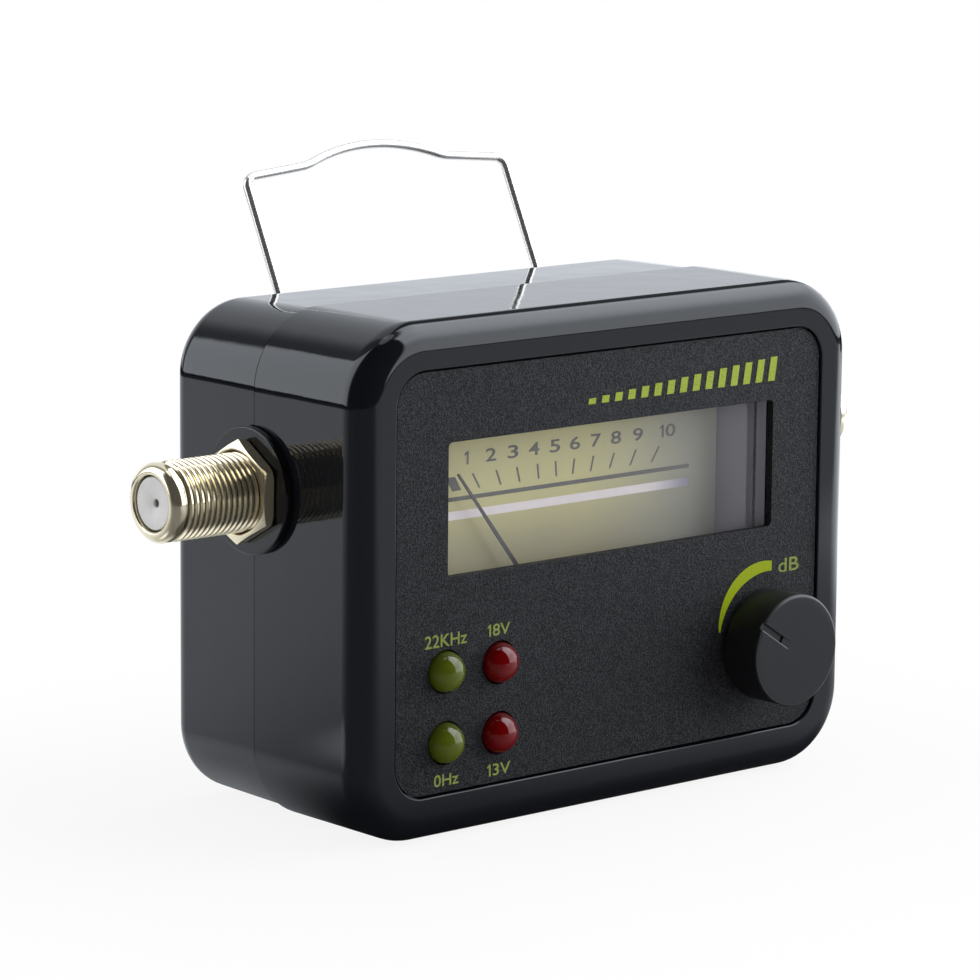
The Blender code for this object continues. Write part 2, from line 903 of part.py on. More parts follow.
def hairspring():
    """A flat spiral of fine wire round the front staff."""
    curve = bpy.data.curves.new("hairspring", "CURVE")
    curve.dimensions = "3D"
    curve.bevel_depth = hairspring_wire_radius
    curve.bevel_resolution = 0
    curve.use_fill_caps = True
    steps = hairspring_turns * hairspring_steps
    spline = curve.splines.new("POLY")
    spline.points.add(steps)
    for i, point in enumerate(spline.points):
        turns = i / hairspring_steps
        radius = hairspring_inner_radius + hairspring_pitch * turns
        angle = math.tau * turns
        point.co = (radius * math.cos(angle), radius * math.sin(angle), 0, 1)
    add_object("hairspring", curve, bronze, (0, depth(spring_middle), pivot_z), facing_front())


def magnet():
    """The round core inside the coil, on a foot that stands on the iron ring round them both."""
    place = (0, depth(core_back), pivot_z)
    length = core_back - core_front
    bar = round_bar("magnet_core", core_radius, length)
    core = add_object("magnet_core", bar, soft_iron, place, facing_front())
    foot = block(
        "core_foot",
        (-core_foot_width / 2, core_foot_width / 2),
        (depth(core_front), depth(core_back)),
        (pivot_z - ring_inner_radius + seat_gap, pivot_z),
    )
    join(core, "core_foot", foot)
    ring_profile = [
        (ring_inner_radius, length),
        (ring_radius, length),
        (ring_radius, 0),
        (ring_inner_radius, 0),
    ]
    turned("magnet_ring", ring_profile, soft_iron, place, facing_front(), closed=True)


def pivot_bridge():
    """A strap across the front of the ring that holds the front end of the staff."""
    strap_back = needle_front - (needle_hub_height - needle_thickness) / 2 - seat_gap
    strap_front = strap_back - bridge_thickness
    leg_back = core_front - seat_gap
    half_bridge = bridge_width / 2
    z_range = (pivot_z - half_bridge, pivot_z + half_bridge)
    strap = block(
        "pivot_bridge", (-ring_radius, ring_radius), (depth(strap_front), depth(leg_back)), z_range
    )
    bridge = add_object("pivot_bridge", strap, brass)
    inner = ring_radius - bridge_leg_width
    under = block(
        "under_bridge",
        (-inner, inner),
        (depth(strap_back), depth(leg_back + cut_overrun)),
        (z_range[0] - cut_overrun, z_range[1] + cut_overrun),
    )
    cut(bridge, "under_bridge", under)
    hole = staff_radius + seat_gap
    hole_front = strap_front - cut_overrun
    hole_back = strap_back + cut_overrun
    cut_hole(bridge, "front_jewel_hole", hole, hole_front, hole_back, 0, pivot_z, small_round_sides)


def main_board():
    """The circuit board, with notches for the connectors and holes for screws and leads."""
    edge = lip_inner + board_side_gap
    board = add_object(
        "main_board",
        centred_block(
            "main_board",
            casing_width - 2 * edge,
            casing_height - 2 * edge,
            board_front,
            board_back,
            corner=corner_radius - edge,
        ),
        board_green,
    )
    notch_inner = half_width - connector_end() - board_side_gap
    half_notch = inner_flange_radius + board_side_gap
    for side in (-1, 1):
        notch = block(
            "connector_notch",
            sorted((side * notch_inner, side * half_width)),
            (depth(board_front - cut_overrun), depth(board_back + cut_overrun)),
            (connector_z - half_notch, connector_z + half_notch),
        )
        cut(board, f"connector_notch_{side}", notch)
    for name, radius, x, z in board_holes():
        near = board_front - cut_overrun
        far = board_back + cut_overrun
        cut_hole(board, name, radius, near, far, x, z, tiny_round_sides)


def board_holes():
    """Name, radius and place of each hole through the board."""
    for side, level in signs():
        name = "board_screw_hole_" + corner_name(side, level)
        yield name, screw_hole_radius, side * boss_x, middle + level * boss_z
    for name, x, z, _ in lamp_places():
        for side in (-1, 1):
            yield f"{name}_lead_hole_{side}", lead_hole_radius, x + side * lead_spacing / 2, z
    for number, x in enumerate(control_pin_places()):
        pin_hole = control_pin_width * math.sqrt(1 / 2) + thread_gap
        yield f"control_pin_hole_{number}", pin_hole, x, control_pin_z()
    for side in (-1, 1):
        x = side * terminal_spread / 2
        yield f"terminal_hole_{side}", terminal_radius + terminal_fit, x, middle - terminal_drop


def control_pin_places():
    return [knob_x + step * control_pin_spacing for step in (-1, 0, 1)]


def control_pin_z():
    return knob_z - control_height / 2 + control_pin_inset + control_pin_width / 2


def lamps():
    """Round lamps on a flange, each with two leads through the board."""
    lead_end = board_back + board_tail
    for name, x, z, look in lamp_places():
        dome = arc((0, lamp_length - lamp_radius), lamp_radius, 90, 0, arc_steps)
        profile = dome + [
            (lamp_radius, lamp_flange_height),
            (lamp_flange_radius, lamp_flange_height),
            (lamp_flange_radius, 0),
            (0, 0),
        ]
        place = (x, depth(lamp_base), z)
        lamp = turned(name, profile, look, place, facing_front(), sides=small_round_sides)
        for side in (-1, 1):
            lead_x = x + side * lead_spacing / 2
            lead = block(
                "lead",
                (lead_x - lead_width / 2, lead_x + lead_width / 2),
                (depth(lamp_base - lamp_flange_height), depth(lead_end)),
                (z - lead_width / 2, z + lead_width / 2),
            )
            join(lamp, f"{name}_lead_{side}", lead)


def gain_control():
    """The potentiometer: a housing on the board with a bushing for the shaft and three pins."""
    half_control = control_width / 2
    housing = block(
        "gain_control",
        (knob_x - half_control, knob_x + half_control),
        (depth(control_front), depth(control_back)),
        (knob_z - control_height / 2, knob_z + control_height / 2),
    )
    control = add_object("gain_control", housing, control_blue)
    bushing_front = control_front - bushing_length
    bushing_back = control_front + control_socket_depth / 2
    join_post(control, "bushing", bushing_radius, bushing_front, bushing_back, knob_x, knob_z)
    socket_back = control_front + control_socket_depth
    bore = shaft_radius + shaft_fit
    cut_hole(control, "shaft_bore", bore, bushing_front - cut_overrun, socket_back, knob_x, knob_z)
    for number, x in enumerate(control_pin_places()):
        half_pin = control_pin_width / 2
        pin = block(
            "control_pin",
            (x - half_pin, x + half_pin),
            (depth(control_back - seat_gap), depth(board_back + board_tail)),
            (control_pin_z() - half_pin, control_pin_z() + half_pin),
        )
        join(control, f"control_pin_{number}", pin)


def gain_shaft():
    """The shaft that the knob turns, from the potentiometer to inside the knob."""
    back = control_front + control_socket_depth - shaft_end_gap
    front = knob_front + knob_bore_top + shaft_end_gap
    shaft = round_bar("gain_shaft", shaft_radius, back - front)
    add_object("gain_shaft", shaft, shaft_white, (knob_x, depth(back), knob_z), facing_front())


def gain_knob():
    """A round knob, hollow behind round its hub, with a pointer groove from the rim inwards."""
    bore = shaft_radius + shaft_fit
    hub = bore + knob_hub_wall
    skirt_inner = knob_radius - knob_skirt
    edge_centre = (knob_radius - knob_edge_radius, knob_height - knob_edge_radius)
    profile = [
        (0, knob_height),
        *arc(edge_centre, knob_edge_radius, 90, 0, edge_segments),
        (knob_radius, 0),
        (skirt_inner, 0),
        (skirt_inner, knob_height - knob_top),
        (hub, knob_height - knob_top),
        (hub, 0),
        (bore, 0),
        (bore, knob_height - knob_bore_top),
        (0, knob_height - knob_bore_top),
    ]
    place = (knob_x, depth(knob_back), knob_z)
    turn = facing_front(knob_rest_angle)
    knob = turned("gain_knob", profile, knob_black, place, turn)
    half_groove = knob_groove_width / 2
    groove = block(
        "pointer_groove",
        (-half_groove, half_groove),
        (knob_groove_inner_radius, knob_radius + cut_overrun),
        (knob_height - knob_groove_depth, knob_height + cut_overrun),
    )
    cut(knob, "pointer_groove", groove, place, turn)


def connector_end():
    """How far inside the casing's side the connector's body ends."""
    return lip_inner + seat_gap + inner_flange_thickness + inner_body_length


def connector_profile():
    """Down the outside from the outer end, then up the bore. Height zero is the casing's side."""
    flange_top = -lip_inner - seat_gap
    flange_bottom = flange_top - inner_flange_thickness
    end = -connector_end()
    root_step = barrel_radius - thread_root_radius
    collar_bottom = barrel_reach - collar_length
    edge_centre = (barrel_radius - collar_edge_radius, barrel_reach - collar_edge_radius)
    return [
        (barrel_bore_radius, barrel_reach),
        *arc(edge_centre, collar_edge_radius, 90, 0, edge_segments),
        (barrel_radius, collar_bottom),
        (thread_root_radius, collar_bottom - root_step),
        (thread_root_radius, root_step),
        (barrel_radius, 0),
        (barrel_radius, flange_top),
        (inner_flange_radius, flange_top),
        (inner_flange_radius, flange_bottom),
        (inner_body_radius, flange_bottom),
        (inner_body_radius, end),
        (insulator_hole_radius, end),
        (insulator_hole_radius, end + inner_body_floor),
        (barrel_bore_radius, end + inner_body_floor),
    ]


def insulator_profile():
    top = barrel_reach - insulator_setback
    bottom = -connector_end() + inner_body_floor + seat_gap
    return [
        (insulator_hole_radius, top),
        (insulator_radius, top),
        (insulator_radius, bottom),
        (insulator_hole_radius, bottom),
    ]


def contact_profile():
    """A socket at the outer end and a thin pin that reaches over the board."""
    top = barrel_reach - contact_setback
    shoulder = -connector_end()
    end = shoulder - contact_pin_length
    return [
        (0, top - contact_socket_depth),
        (contact_socket_radius, top - contact_socket_depth),
        (contact_socket_radius, top),
        (contact_radius, top),
        (contact_radius, shoulder),
        (contact_pin_radius, shoulder),
        (contact_pin_radius, end),
        (0, end),
    ]


def connectors():
    """On each side: barrel, insulator, contact, washer and nut."""
    washer_bottom = thread_gap
    washer_top = washer_bottom + washer_thickness
    washer_hole = barrel_radius + thread_gap
    washer_profile = [
        (washer_hole, washer_top),
        (washer_radius, washer_top),
        (washer_radius, washer_bottom),
        (washer_hole, washer_bottom),
    ]
    small = small_round_sides
    for side, label in ((-1, "left"), (1, "right")):
        place = (side * half_width, depth(seam_depth), connector_z)
        turn = facing_side(side)
        turned("f_connector_" + label, connector_profile(), nickel, place, turn, closed=True)
        turned("insulator_" + label, insulator_profile(), white_plastic, place, turn, small, closed=True)
        turned("centre_contact_" + label, contact_profile(), brass, place, turn, small)
        turned("washer_" + label, washer_profile, rubber, place, turn, closed=True)
        hex_nut("hex_nut_" + label, side, washer_top + thread_gap)


def hex_nut(name, side, height):
    bm = bmesh.new()
    corner_distance = nut_width / math.sqrt(3)
    bmesh.ops.create_cone(
        bm, cap_ends=True, segments=6, radius1=corner_distance, radius2=corner_distance, depth=nut_thickness
    )
    bmesh.ops.rotate(bm, verts=bm.verts, matrix=Matrix.Rotation(-side * nut_turn, 3, "Z"))
    turn = facing_side(side)
    x = side * (half_width + height + nut_thickness / 2)
    nut = add_object(name, finish_mesh(bm, name), nickel, (x, depth(seam_depth), connector_z), turn)
    bore_start = x - side * (nut_thickness / 2 + cut_overrun)
    bore = round_bar("nut_bore", barrel_radius + thread_gap, nut_thickness + 2 * cut_overrun)
    cut(nut, name + "_bore", bore, (bore_start, depth(seam_depth), connector_z), turn)


def casing_screws():
    """Long screws from the back, through the rear boss and the board into the front boss."""
    seat = casing_depth - screw_recess_depth + seat_gap
    shank = seat - screw_tip_depth
    profile = [
        (0, screw_head_height),
        (screw_head_radius, screw_head_height),
        (screw_head_radius, 0),
        (screw_radius, 0),
        (screw_radius, -shank),
        (0, -shank),
    ]
    facing_back = (-math.pi / 2, 0, 0)
    half_length = drive_slot_length / 2
    half_slot = drive_slot_width / 2
    floor = screw_head_height - drive_slot_depth
    top = screw_head_height + cut_overrun
    for side, level in signs():
        name = "case_screw_" + corner_name(side, level)
        place = (side * boss_x, depth(seat), middle + level * boss_z)
        screw = turned(name, profile, steel, place, facing_back, small_round_sides)
        for label, half_x, half_y in (("a", half_length, half_slot), ("b", half_slot, half_length)):
            slot = block("drive_slot", (-half_x, half_x), (-half_y, half_y), (floor, top))
            cut(screw, f"{name}_slot_{label}", slot, place, facing_back)


def bail_route():
    """The wire's centre line in its own plane: X along the hinge, second value up the legs."""
    foot = bail_foot_bend_radius
    bend = bail_bend_radius
    leg = bail_half_width
    rise = bail_hump_height
    reach = bail_hump_half_width
    hump_radius = (reach**2 + rise**2) / (2 * rise)
    half_angle = math.degrees(math.asin(reach / hump_radius))
    left = [
        (bail_foot_length - leg, 0),
        *arc((foot - leg, foot), foot, 270, 180, arc_steps),
        *arc((bend - leg, bail_height - bend), bend, 180, 90, arc_steps),
    ]
    hump_centre = (0, bail_height + rise - hump_radius)
    hump = arc(hump_centre, hump_radius, 90 + half_angle, 90 - half_angle, hump_steps)
    right = [(-x, up) for x, up in reversed(left)]
    return left + hump + right


def bail():
    """A bent wire that turns in the two lugs. Its origin is on the hinge line."""
    curve = bpy.data.curves.new("bail", "CURVE")
    curve.dimensions = "3D"
    curve.bevel_depth = bail_wire_radius
    curve.bevel_resolution = wire_resolution
    curve.use_fill_caps = True
    route = bail_route()
    spline = curve.splines.new("POLY")
    spline.points.add(len(route) - 1)
    for point, (x, up) in zip(spline.points, route):
        point.co = (x, 0, up, 1)
    add_object("bail", curve, chrome, (0, hinge_y, hinge_z), (-bail_rest_lean, 0, 0))


def on_board_back(shares):
    """A place on the back of the board, from shares of its half width and half height."""
    edge = lip_inner + board_side_gap
    x = shares[0] * (half_width - edge)
    z = middle + shares[1] * (middle - edge)
    return x, depth(board_back + seat_gap), z


def bevelled(obj, width, segments=2):
    step = obj.modifiers.new("edges", "BEVEL")
    step.width = width
    step.segments = segments
    return obj


def board_components():
    """The amplifier chip, supply regulator, filter capacitor and choke."""
    width, height, tall = amplifier_size
    x, y, z = on_board_back(amplifier_place_shares)
    chip = block(
        "amplifier_chip", (x - width / 2, x + width / 2), (y, y + tall), (z - height / 2, z + height / 2)
    )
    bevelled(add_object("amplifier_chip", chip, chip_black), component_edge_radius)
    facing_back = (-math.pi / 2, 0, 0)
    place = on_board_back(regulator_place_shares)
    body = round_bar("supply_regulator", regulator_radius, regulator_height, small_round_sides)
    regulator = add_object("supply_regulator", body, chip_black, place, facing_back)
    flat = block(
        "regulator_flat",
        (-regulator_radius - cut_overrun, regulator_radius + cut_overrun),
        (regulator_radius - regulator_flat_setback, regulator_radius + cut_overrun),
        (-cut_overrun, regulator_height + cut_overrun),
    )
    cut(regulator, "regulator_flat", flat, place, facing_back)
    edge_centre = (capacitor_radius - capacitor_edge_radius, capacitor_height - capacitor_edge_radius)
    can = [
        (0, capacitor_height),
        *arc(edge_centre, capacitor_edge_radius, 90, 0, edge_segments),
        (capacitor_radius, 0),
        (0, 0),
    ]
    place = on_board_back(capacitor_place_shares)
    turned("filter_capacitor", can, sleeve_blue, place, facing_back, small_round_sides)
    x, y, z = on_board_back(choke_place_shares)
    end = choke_radius - choke_end_radius
    barrel = [
        (0, choke_length),
        (end, choke_length),
        (choke_radius, choke_length - choke_end_radius),
        (choke_radius, choke_end_radius),
        (end, 0),
        (0, 0),
    ]
    lying = (x - choke_length / 2, y + choke_radius, z)
    turned("input_choke", barrel, choke_green, lying, facing_side(1), small_round_sides)


front_shell()
rear_shell()
front_plate()
meter_window()
meter_case()
meter_terminals()
dial_card()
pointer_needle()
moving_coil()
hairspring()
magnet()
pivot_bridge()
main_board()
lamps()
gain_control()
gain_shaft()
gain_knob()
connectors()
casing_screws()
bail()
board_components()
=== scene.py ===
import math

import bmesh
import bpy
from mathutils import Matrix, Vector


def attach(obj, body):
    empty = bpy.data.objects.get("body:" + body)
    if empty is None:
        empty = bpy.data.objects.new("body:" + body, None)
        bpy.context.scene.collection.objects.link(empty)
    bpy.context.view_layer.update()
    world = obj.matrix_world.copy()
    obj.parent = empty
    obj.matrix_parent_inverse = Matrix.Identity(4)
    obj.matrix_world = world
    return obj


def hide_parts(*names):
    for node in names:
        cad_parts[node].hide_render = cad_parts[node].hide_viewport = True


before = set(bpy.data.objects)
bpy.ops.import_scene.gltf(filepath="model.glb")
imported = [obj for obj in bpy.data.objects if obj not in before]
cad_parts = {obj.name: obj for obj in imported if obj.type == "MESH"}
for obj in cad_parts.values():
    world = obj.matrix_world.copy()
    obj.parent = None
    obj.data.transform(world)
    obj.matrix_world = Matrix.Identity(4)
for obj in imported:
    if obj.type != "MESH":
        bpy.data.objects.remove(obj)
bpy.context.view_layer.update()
mm = 0.001

# all sizes below are in millimetres: x right of the middle, depth behind the front face, z above the middle
casing = {
    "width": 80.3,
    "height": 62.0,
    "depth": 37.0,
    "seam": 19.8,
    "corner": 9.6,
    "frontEdge": 3.3,
    "rearEdge": 3.0,
    "wall": 2.0,
    "frontWall": 3.0,
    "step": 0.35,
    "gap": 0.3,
    "draft": 0.22,  # the rear casing's narrowing, on each side
}
halfWide, halfTall, halfDeep = [casing[key] / 2 for key in ("width", "height", "depth")]
plate = {"width": 68.8, "height": 50.5, "corner": 4.1, "gap": 0.24, "front": 0.3, "back": 1.3, "edge": 0.12}
window = {"width": 53.0, "bottom": 0.6, "top": 16.6, "corner": 0.6}
lampPlaces = [(-26.7, -10.7), (-26.7, -19.3), (-18.3, -10.7), (-18.3, -19.3)]
screwPlaces = [(side * 30.55, level * 25.0) for side in (-1, 1) for level in (-1, 1)]
bores = {"lamp": 2.65, "bushing": 3.4, "connector": 5.0, "screw": 1.3, "screwHead": 2.1, "bail": 0.67}  # radii
knob = {
    "x": 25.3,
    "z": -14.1,
    "radius": 7.05,
    "back": -0.2,
    "height": 5.8,
    "edge": 0.42,
    "turn": -56.8,
    "groove": 0.9,  # its width
    "grooveEnds": (2.9, 8.5),  # from the knob's middle
    "grooveDeep": 0.45,
    "rampEnds": (1.4, 3.0),
    "rampDeep": 0.24,
}
connector = {
    "rise": 9.8,
    "radius": 4.7625,
    "root": 4.36,
    "pitch": 0.794,
    "reach": 15.15,
    "collar": 2.0,
    "washer": 7.7,
    "nutWidth": 11.0,
    "nutTall": 1.5,
    "nutTurn": 28.6,
    "nutOut": 1.3,  # from the casing's side, over the washer
}


def at(x, depth, z):
    return Vector((x, depth - halfDeep, z + halfTall)) * mm


# shader helpers

class Wire:
    # a shader socket that joins in sums like a number
    def __init__(self, sheet, socket):
        self.sheet = sheet
        self.socket = socket

    def __add__(self, other):
        return self.sheet.maths("ADD", self, other)

    def __sub__(self, other):
        return self.sheet.maths("SUBTRACT", self, other)

    def __rsub__(self, other):
        return self.sheet.maths("SUBTRACT", other, self)

    def __mul__(self, other):
        return self.sheet.maths("MULTIPLY", self, other)

    def __truediv__(self, other):
        return self.sheet.maths("DIVIDE", self, other)

    def __abs__(self):
        return self.sheet.maths("ABSOLUTE", self, 0.0)

    __radd__ = __add__
    __rmul__ = __mul__

    def rise(self, start, end, low=0.0, high=1.0):
        # a soft step from low to high as the value goes from start to end
        return self.sheet.node(
            "MapRange", {"interpolation_type": "SMOOTHSTEP"}, {0: self, 1: start, 2: end, 3: low, 4: high}
        )

    def fall(self, start, end):
        return self.rise(start, end, 1.0, 0.0)

    def between(self, start, full, fading, end):
        # a soft step up to 1, and a soft step down again
        return self.rise(start, full) * self.fall(fading, end)


class Sheet:
    # one node tree with the shader that ends it
    def __init__(self, tree, shader):
        self.tree = tree
        self.shader = shader

    def node(self, kind, settings, sockets, out=0):
        made = self.tree.nodes.new("ShaderNode" + kind)
        for key, value in settings.items():
            setattr(made, key, value)
        for key, value in sockets.items():
            self.plug(made.inputs[key], value)
        return Wire(self, made.outputs[out])

    def maths(self, operation, first, second):
        return self.node("Math", {"operation": operation}, {0: first, 1: second})

    def length(self, first, second):
        return self.maths("SQRT", first * first + second * second, 0.0)

    def plug(self, socket, value):
        if isinstance(value, Wire):
            self.tree.links.new(value.socket, socket)
        else:
            socket.default_value = (*value, 1) if socket.type == "RGBA" else value

    def feed(self, **values):
        # baseColor=... goes to the socket Base Color, and so on
        sockets = {socket.name.replace(" ", "").lower(): socket for socket in self.shader.inputs}
        for key, value in values.items():
            self.plug(sockets[key.lower()], value)

    def place(self):
        return self.node("TexCoord", {}, {}, "Object")

    def along(self, *axes):
        # where a point lies along the axes 0, 1 or 2, in millimetres
        return [self.node("SeparateXYZ", {}, {0: self.place()}, axis) / mm for axis in axes]

    def noise(self, scale, detail=2.0, where=None, roughness=0.5):
        # the scale is in features for each millimetre
        return self.node(
            "TexNoise",
            {},
            {"Vector": where or self.place(), "Scale": scale / mm, "Detail": detail, "Roughness": roughness},
        )

    def stretched(self, x, y, z):
        return self.node("Mapping", {}, {"Vector": self.place(), "Scale": (x, y, z)})

    def blend(self, mask, first, second):
        return self.node("Mix", {"data_type": "RGBA"}, {0: mask, 6: first, 7: second}, 2)

    def bumped(self, height, distance, strength=1.0):
        # the finished material, with a bump in millimetres
        sockets = {"Height": height, "Distance": distance * mm, "Strength": strength}
        self.feed(normal=self.node("Bump", {}, sockets))
        return self.material


def newLook(name, **values):
    made = bpy.data.materials.new(name)
    made.use_nodes = True
    sheet = Sheet(made.node_tree, made.node_tree.nodes["Principled BSDF"])
    sheet.feed(**values)
    sheet.material = made
    return sheet


# finishes of the casing, its plate and the knob

finish = {
    "casingTone": (0.0068, 0.0075, 0.0098),
    "casingDust": (0.013, 0.014, 0.017),
    "casingGloss": 0.055,
    "plateTone": (0.0022, 0.0024, 0.0034),
    "plateSpeck": (0.025, 0.0255, 0.029),
    "plateGrain": 5.4,  # bumps for each millimetre
    "knobTone": (0.005, 0.0054, 0.0066),
    "knobPale": (0.0075, 0.008, 0.0096),
    # painted highlight on one edge of the pointer groove and on the rim
    "knobWorn": (0.15, 0.15, 0.16),
    "knobGloss": 0.2,
    "printTone": (0.3, 0.375, 0.045),
    "labelTone": (0.215, 0.262, 0.06),
    "wedgeTone": (0.275, 0.35, 0.002),
}


def glossyCasing():
    sheet = newLook("glossBlackPlastic", specularIorLevel=0.5)
    dust = sheet.noise(1.9, 3.0).rise(0.62, 0.74)
    ripple = sheet.noise(0.16, 1.0)
    fine = sheet.noise(1.2)
    sheet.feed(
        baseColor=sheet.blend(dust * 0.35, finish["casingTone"], finish["casingDust"]),
        roughness=fine * 0.03 + dust * 0.05 + finish["casingGloss"] - 0.015,
    )
    return sheet.bumped(ripple + fine * 0.1, 0.05, 0.5)


def grainedPlate():
    sheet = newLook("texturedPlate", specularIorLevel=0.28)
    grain = sheet.noise(finish["plateGrain"], 3.0, roughness=0.72)
    coarse = sheet.noise(finish["plateGrain"] * 0.4)
    speck = (grain + coarse * 0.12).rise(0.54, 0.62)
    sheet.feed(
        baseColor=sheet.blend(speck, finish["plateTone"], finish["plateSpeck"]),
        roughness=0.6 - speck * 0.16,
    )
    return sheet.bumped(grain + coarse * 0.4, 0.15, 0.8)


def satinKnob():
    sheet = newLook("satinKnobPlastic", specularIorLevel=0.5)
    grain = sheet.noise(7.0)
    cloud = sheet.noise(0.25)
    x, z = sheet.along(0, 2)
    across = x - knob["x"]
    up = z - (halfTall + knob["z"])
    # the turned side is duller than the face
    radius = sheet.length(across, up)
    side = radius.rise(knob["radius"] - 0.25, knob["radius"] - 0.05)
    # painted highlight: one edge of the pointer groove is pale, and the rim a little
    turn = math.radians(knob["turn"])
    along = across * math.sin(turn) + up * math.cos(turn)
    beside = up * math.sin(turn) - across * math.cos(turn) - knob["groove"] / 2
    lip = beside.between(-0.02, 0.02, 0.09, 0.17) * along.rise(1.3, 1.9) * (1.0 - side)
    rim = radius.rise(knob["radius"] - 0.34, knob["radius"] - 0.2) * (1.0 - side)
    plain = sheet.blend(cloud, finish["knobTone"], finish["knobPale"])
    sheet.feed(
        baseColor=sheet.blend(lip * 0.9 + rim * 0.3, plain, finish["knobWorn"]),
        roughness=grain * 0.08 + side * 0.22 + finish["knobGloss"],
    )
    return sheet.bumped(grain, 0.012, 0.6)


def printInk(name, tone, dark):
    # ink with small gaps where the grain shows through
    sheet = newLook(name, roughness=0.6, specularIorLevel=0.25)
    worn = sheet.noise(5.0).rise(0.48, 0.72)
    sheet.feed(baseColor=sheet.blend(worn * 0.55, tone, dark))
    return sheet.bumped(sheet.noise(5.0, 1.5), 0.08, 0.7)


# finishes of the meter

def clearCover():
    # faces to the front stay clear; walls that run back turn a less clear grey, a painted reflection of the clear
    # walls seen edge-on
    sheet = newLook("clearMeterCover", baseColor=(0.42, 0.41, 0.47), roughness=0.06, specularIorLevel=0.5)
    facing = abs(sheet.node("SeparateXYZ", {}, {0: sheet.node("NewGeometry", {}, {}, "Normal")}, 1))
    haze = sheet.noise(0.22)
    sheet.feed(alpha=facing.rise(0.15, 0.85, 0.62, 0.055) + haze * 0.05)
    return sheet.bumped(sheet.noise(0.3, 1.0), 0.01, 0.3)


paper = {
    "tone": (0.59, 0.56, 0.27),
    "pale": (0.65, 0.62, 0.3),
    # painted shade at the dial's lower edge and right end
    "lowEdge": (0.415, 0.385, 0.225),
    "rightEnd": (0.35, 0.36, 0.3),
    "fibre": (0.47, 0.44, 0.26),
}


def dialPaper():
    # painted shade: darker downwards and to the right, where the cover's wall stands before it
    sheet = newLook("dialCardPaper", roughness=0.7)
    cloud = sheet.noise(0.05)
    fibre = sheet.noise(2.2, 4.0)
    across, up = sheet.along(0, 2)
    tone = sheet.blend(cloud.rise(0.3, 0.7), paper["tone"], paper["pale"])
    tone = sheet.blend(up.fall(30.5, 39.5), tone, paper["lowEdge"])
    tone = sheet.blend(across.rise(0, 21), tone, paper["rightEnd"])
    sheet.feed(baseColor=sheet.blend(fibre * 0.2, tone, paper["fibre"]))
    return sheet.bumped(fibre, 0.02, 0.3)


def plainInk(name, tone, worn, faded):
    # ink with painted shade at the dial's right end, behind the cover's wall
    sheet = newLook(name, roughness=0.6)
    (across,) = sheet.along(0)
    ink = sheet.blend(sheet.noise(3.0, 3.0).rise(0.45, 0.8), tone, worn)
    sheet.feed(baseColor=sheet.blend(across.rise(12, 20), ink, faded))
    return sheet.material


# finishes of metals and moulded parts

def metal(name, tone, dull, gloss, grain=3.0, depth=0.004, lines=(1, 1, 1), metallic=1.0):
    # a metal with fine marks along its lines and duller patches
    sheet = newLook(name, metallic=metallic)
    marks = sheet.noise(grain, 4.0, sheet.stretched(*lines))
    patch = sheet.noise(0.35, 3.0).rise(0.4, 0.75)
    sheet.feed(
        baseColor=sheet.blend(patch * 0.7, tone, dull),
        roughness=marks * 0.12 + patch * 0.08 + gloss - 0.05,
    )
    return sheet.bumped(marks, depth, 0.4)


# the root tone is painted shade in the thread's roots
nickel = {"tone": (0.95, 0.85, 0.62), "dull": (0.84, 0.74, 0.51), "root": (0.22, 0.18, 0.12), "crest": 4.62}


def threadedNickel():
    # painted shade: dark in the roots of the thread, bright on the crests and the collar
    sheet = newLook("champagneNickel", metallic=0.88)
    x, y, z = sheet.along(0, 1, 2)
    y, z = y - (casing["seam"] - halfDeep), z - (connector["rise"] + halfTall)
    collar = halfWide + connector["reach"] - connector["collar"]
    bright = sheet.length(y, z).rise(connector["root"], nickel["crest"]) + abs(x).rise(collar - 0.2, collar + 0.1)
    marks = sheet.noise(4.0, 4.0, sheet.stretched(4, 1, 1))
    patch = sheet.noise(0.35, 3.0).rise(0.4, 0.75)
    sheet.feed(
        baseColor=sheet.blend(bright, nickel["root"], sheet.blend(patch * 0.6, nickel["tone"], nickel["dull"])),
        roughness=marks * 0.08 + patch * 0.05 + 0.09,
    )
    return sheet.bumped(marks, 0.002, 0.4)


def moulded(name, tone, pale, gloss, grain=4.0, depth=0.006, coat=0.0):
    # a moulded plastic with a fine skin and paler clouds
    sheet = newLook(name, coatWeight=coat)
    fine = sheet.noise(grain, 3.0)
    cloud = sheet.noise(0.3)
    sheet.feed(
        baseColor=sheet.blend(cloud.rise(0.3, 0.75), tone, pale),
        roughness=fine * 0.12 + gloss - 0.05,
    )
    return sheet.bumped(fine, depth, 0.4)


def lampPlastic(name, tone, deep):
    # tinted resin, deeper towards its base
    sheet = newLook(name, roughness=0.08, coatWeight=0.15, coatRoughness=0.04)
    (level,) = sheet.along(1)
    level = level + halfDeep
    clouded = sheet.blend(sheet.noise(0.5, 1.0) * 0.3, tone, deep)
    sheet.feed(baseColor=sheet.blend(level.rise(-1.6, 1.4), clouded, deep))
    return sheet.bumped(sheet.noise(0.4, 1.0), 0.02, 0.25)


# mesh helpers

def ring(halfWidth, halfHeight, corner, depth, rise=0.0, steps=16):
    # an outline with round corners, at one depth
    points = []
    for quarter, (sideX, sideZ) in enumerate(((1, 1), (-1, 1), (-1, -1), (1, -1))):
        for i in range(steps + 1):
            angle = math.pi / 2 * (quarter + i / steps)
            x = sideX * (halfWidth - corner) + corner * math.cos(angle)
            z = sideZ * (halfHeight - corner) + corner * math.sin(angle)
            points.append(at(x, depth, rise + z))
    return points


def shrunk(outline, inset, depth):
    # the ring of (half width, half height, corner), smaller all round
    return ring(*[size - inset for size in outline], depth)


def outward(bm):
    bmesh.ops.recalc_face_normals(bm, faces=bm.faces)
    return bm


def neighbours(rows, closed):
    return list(zip(rows, rows[1:])) + [(rows[-1], rows[0])] * closed


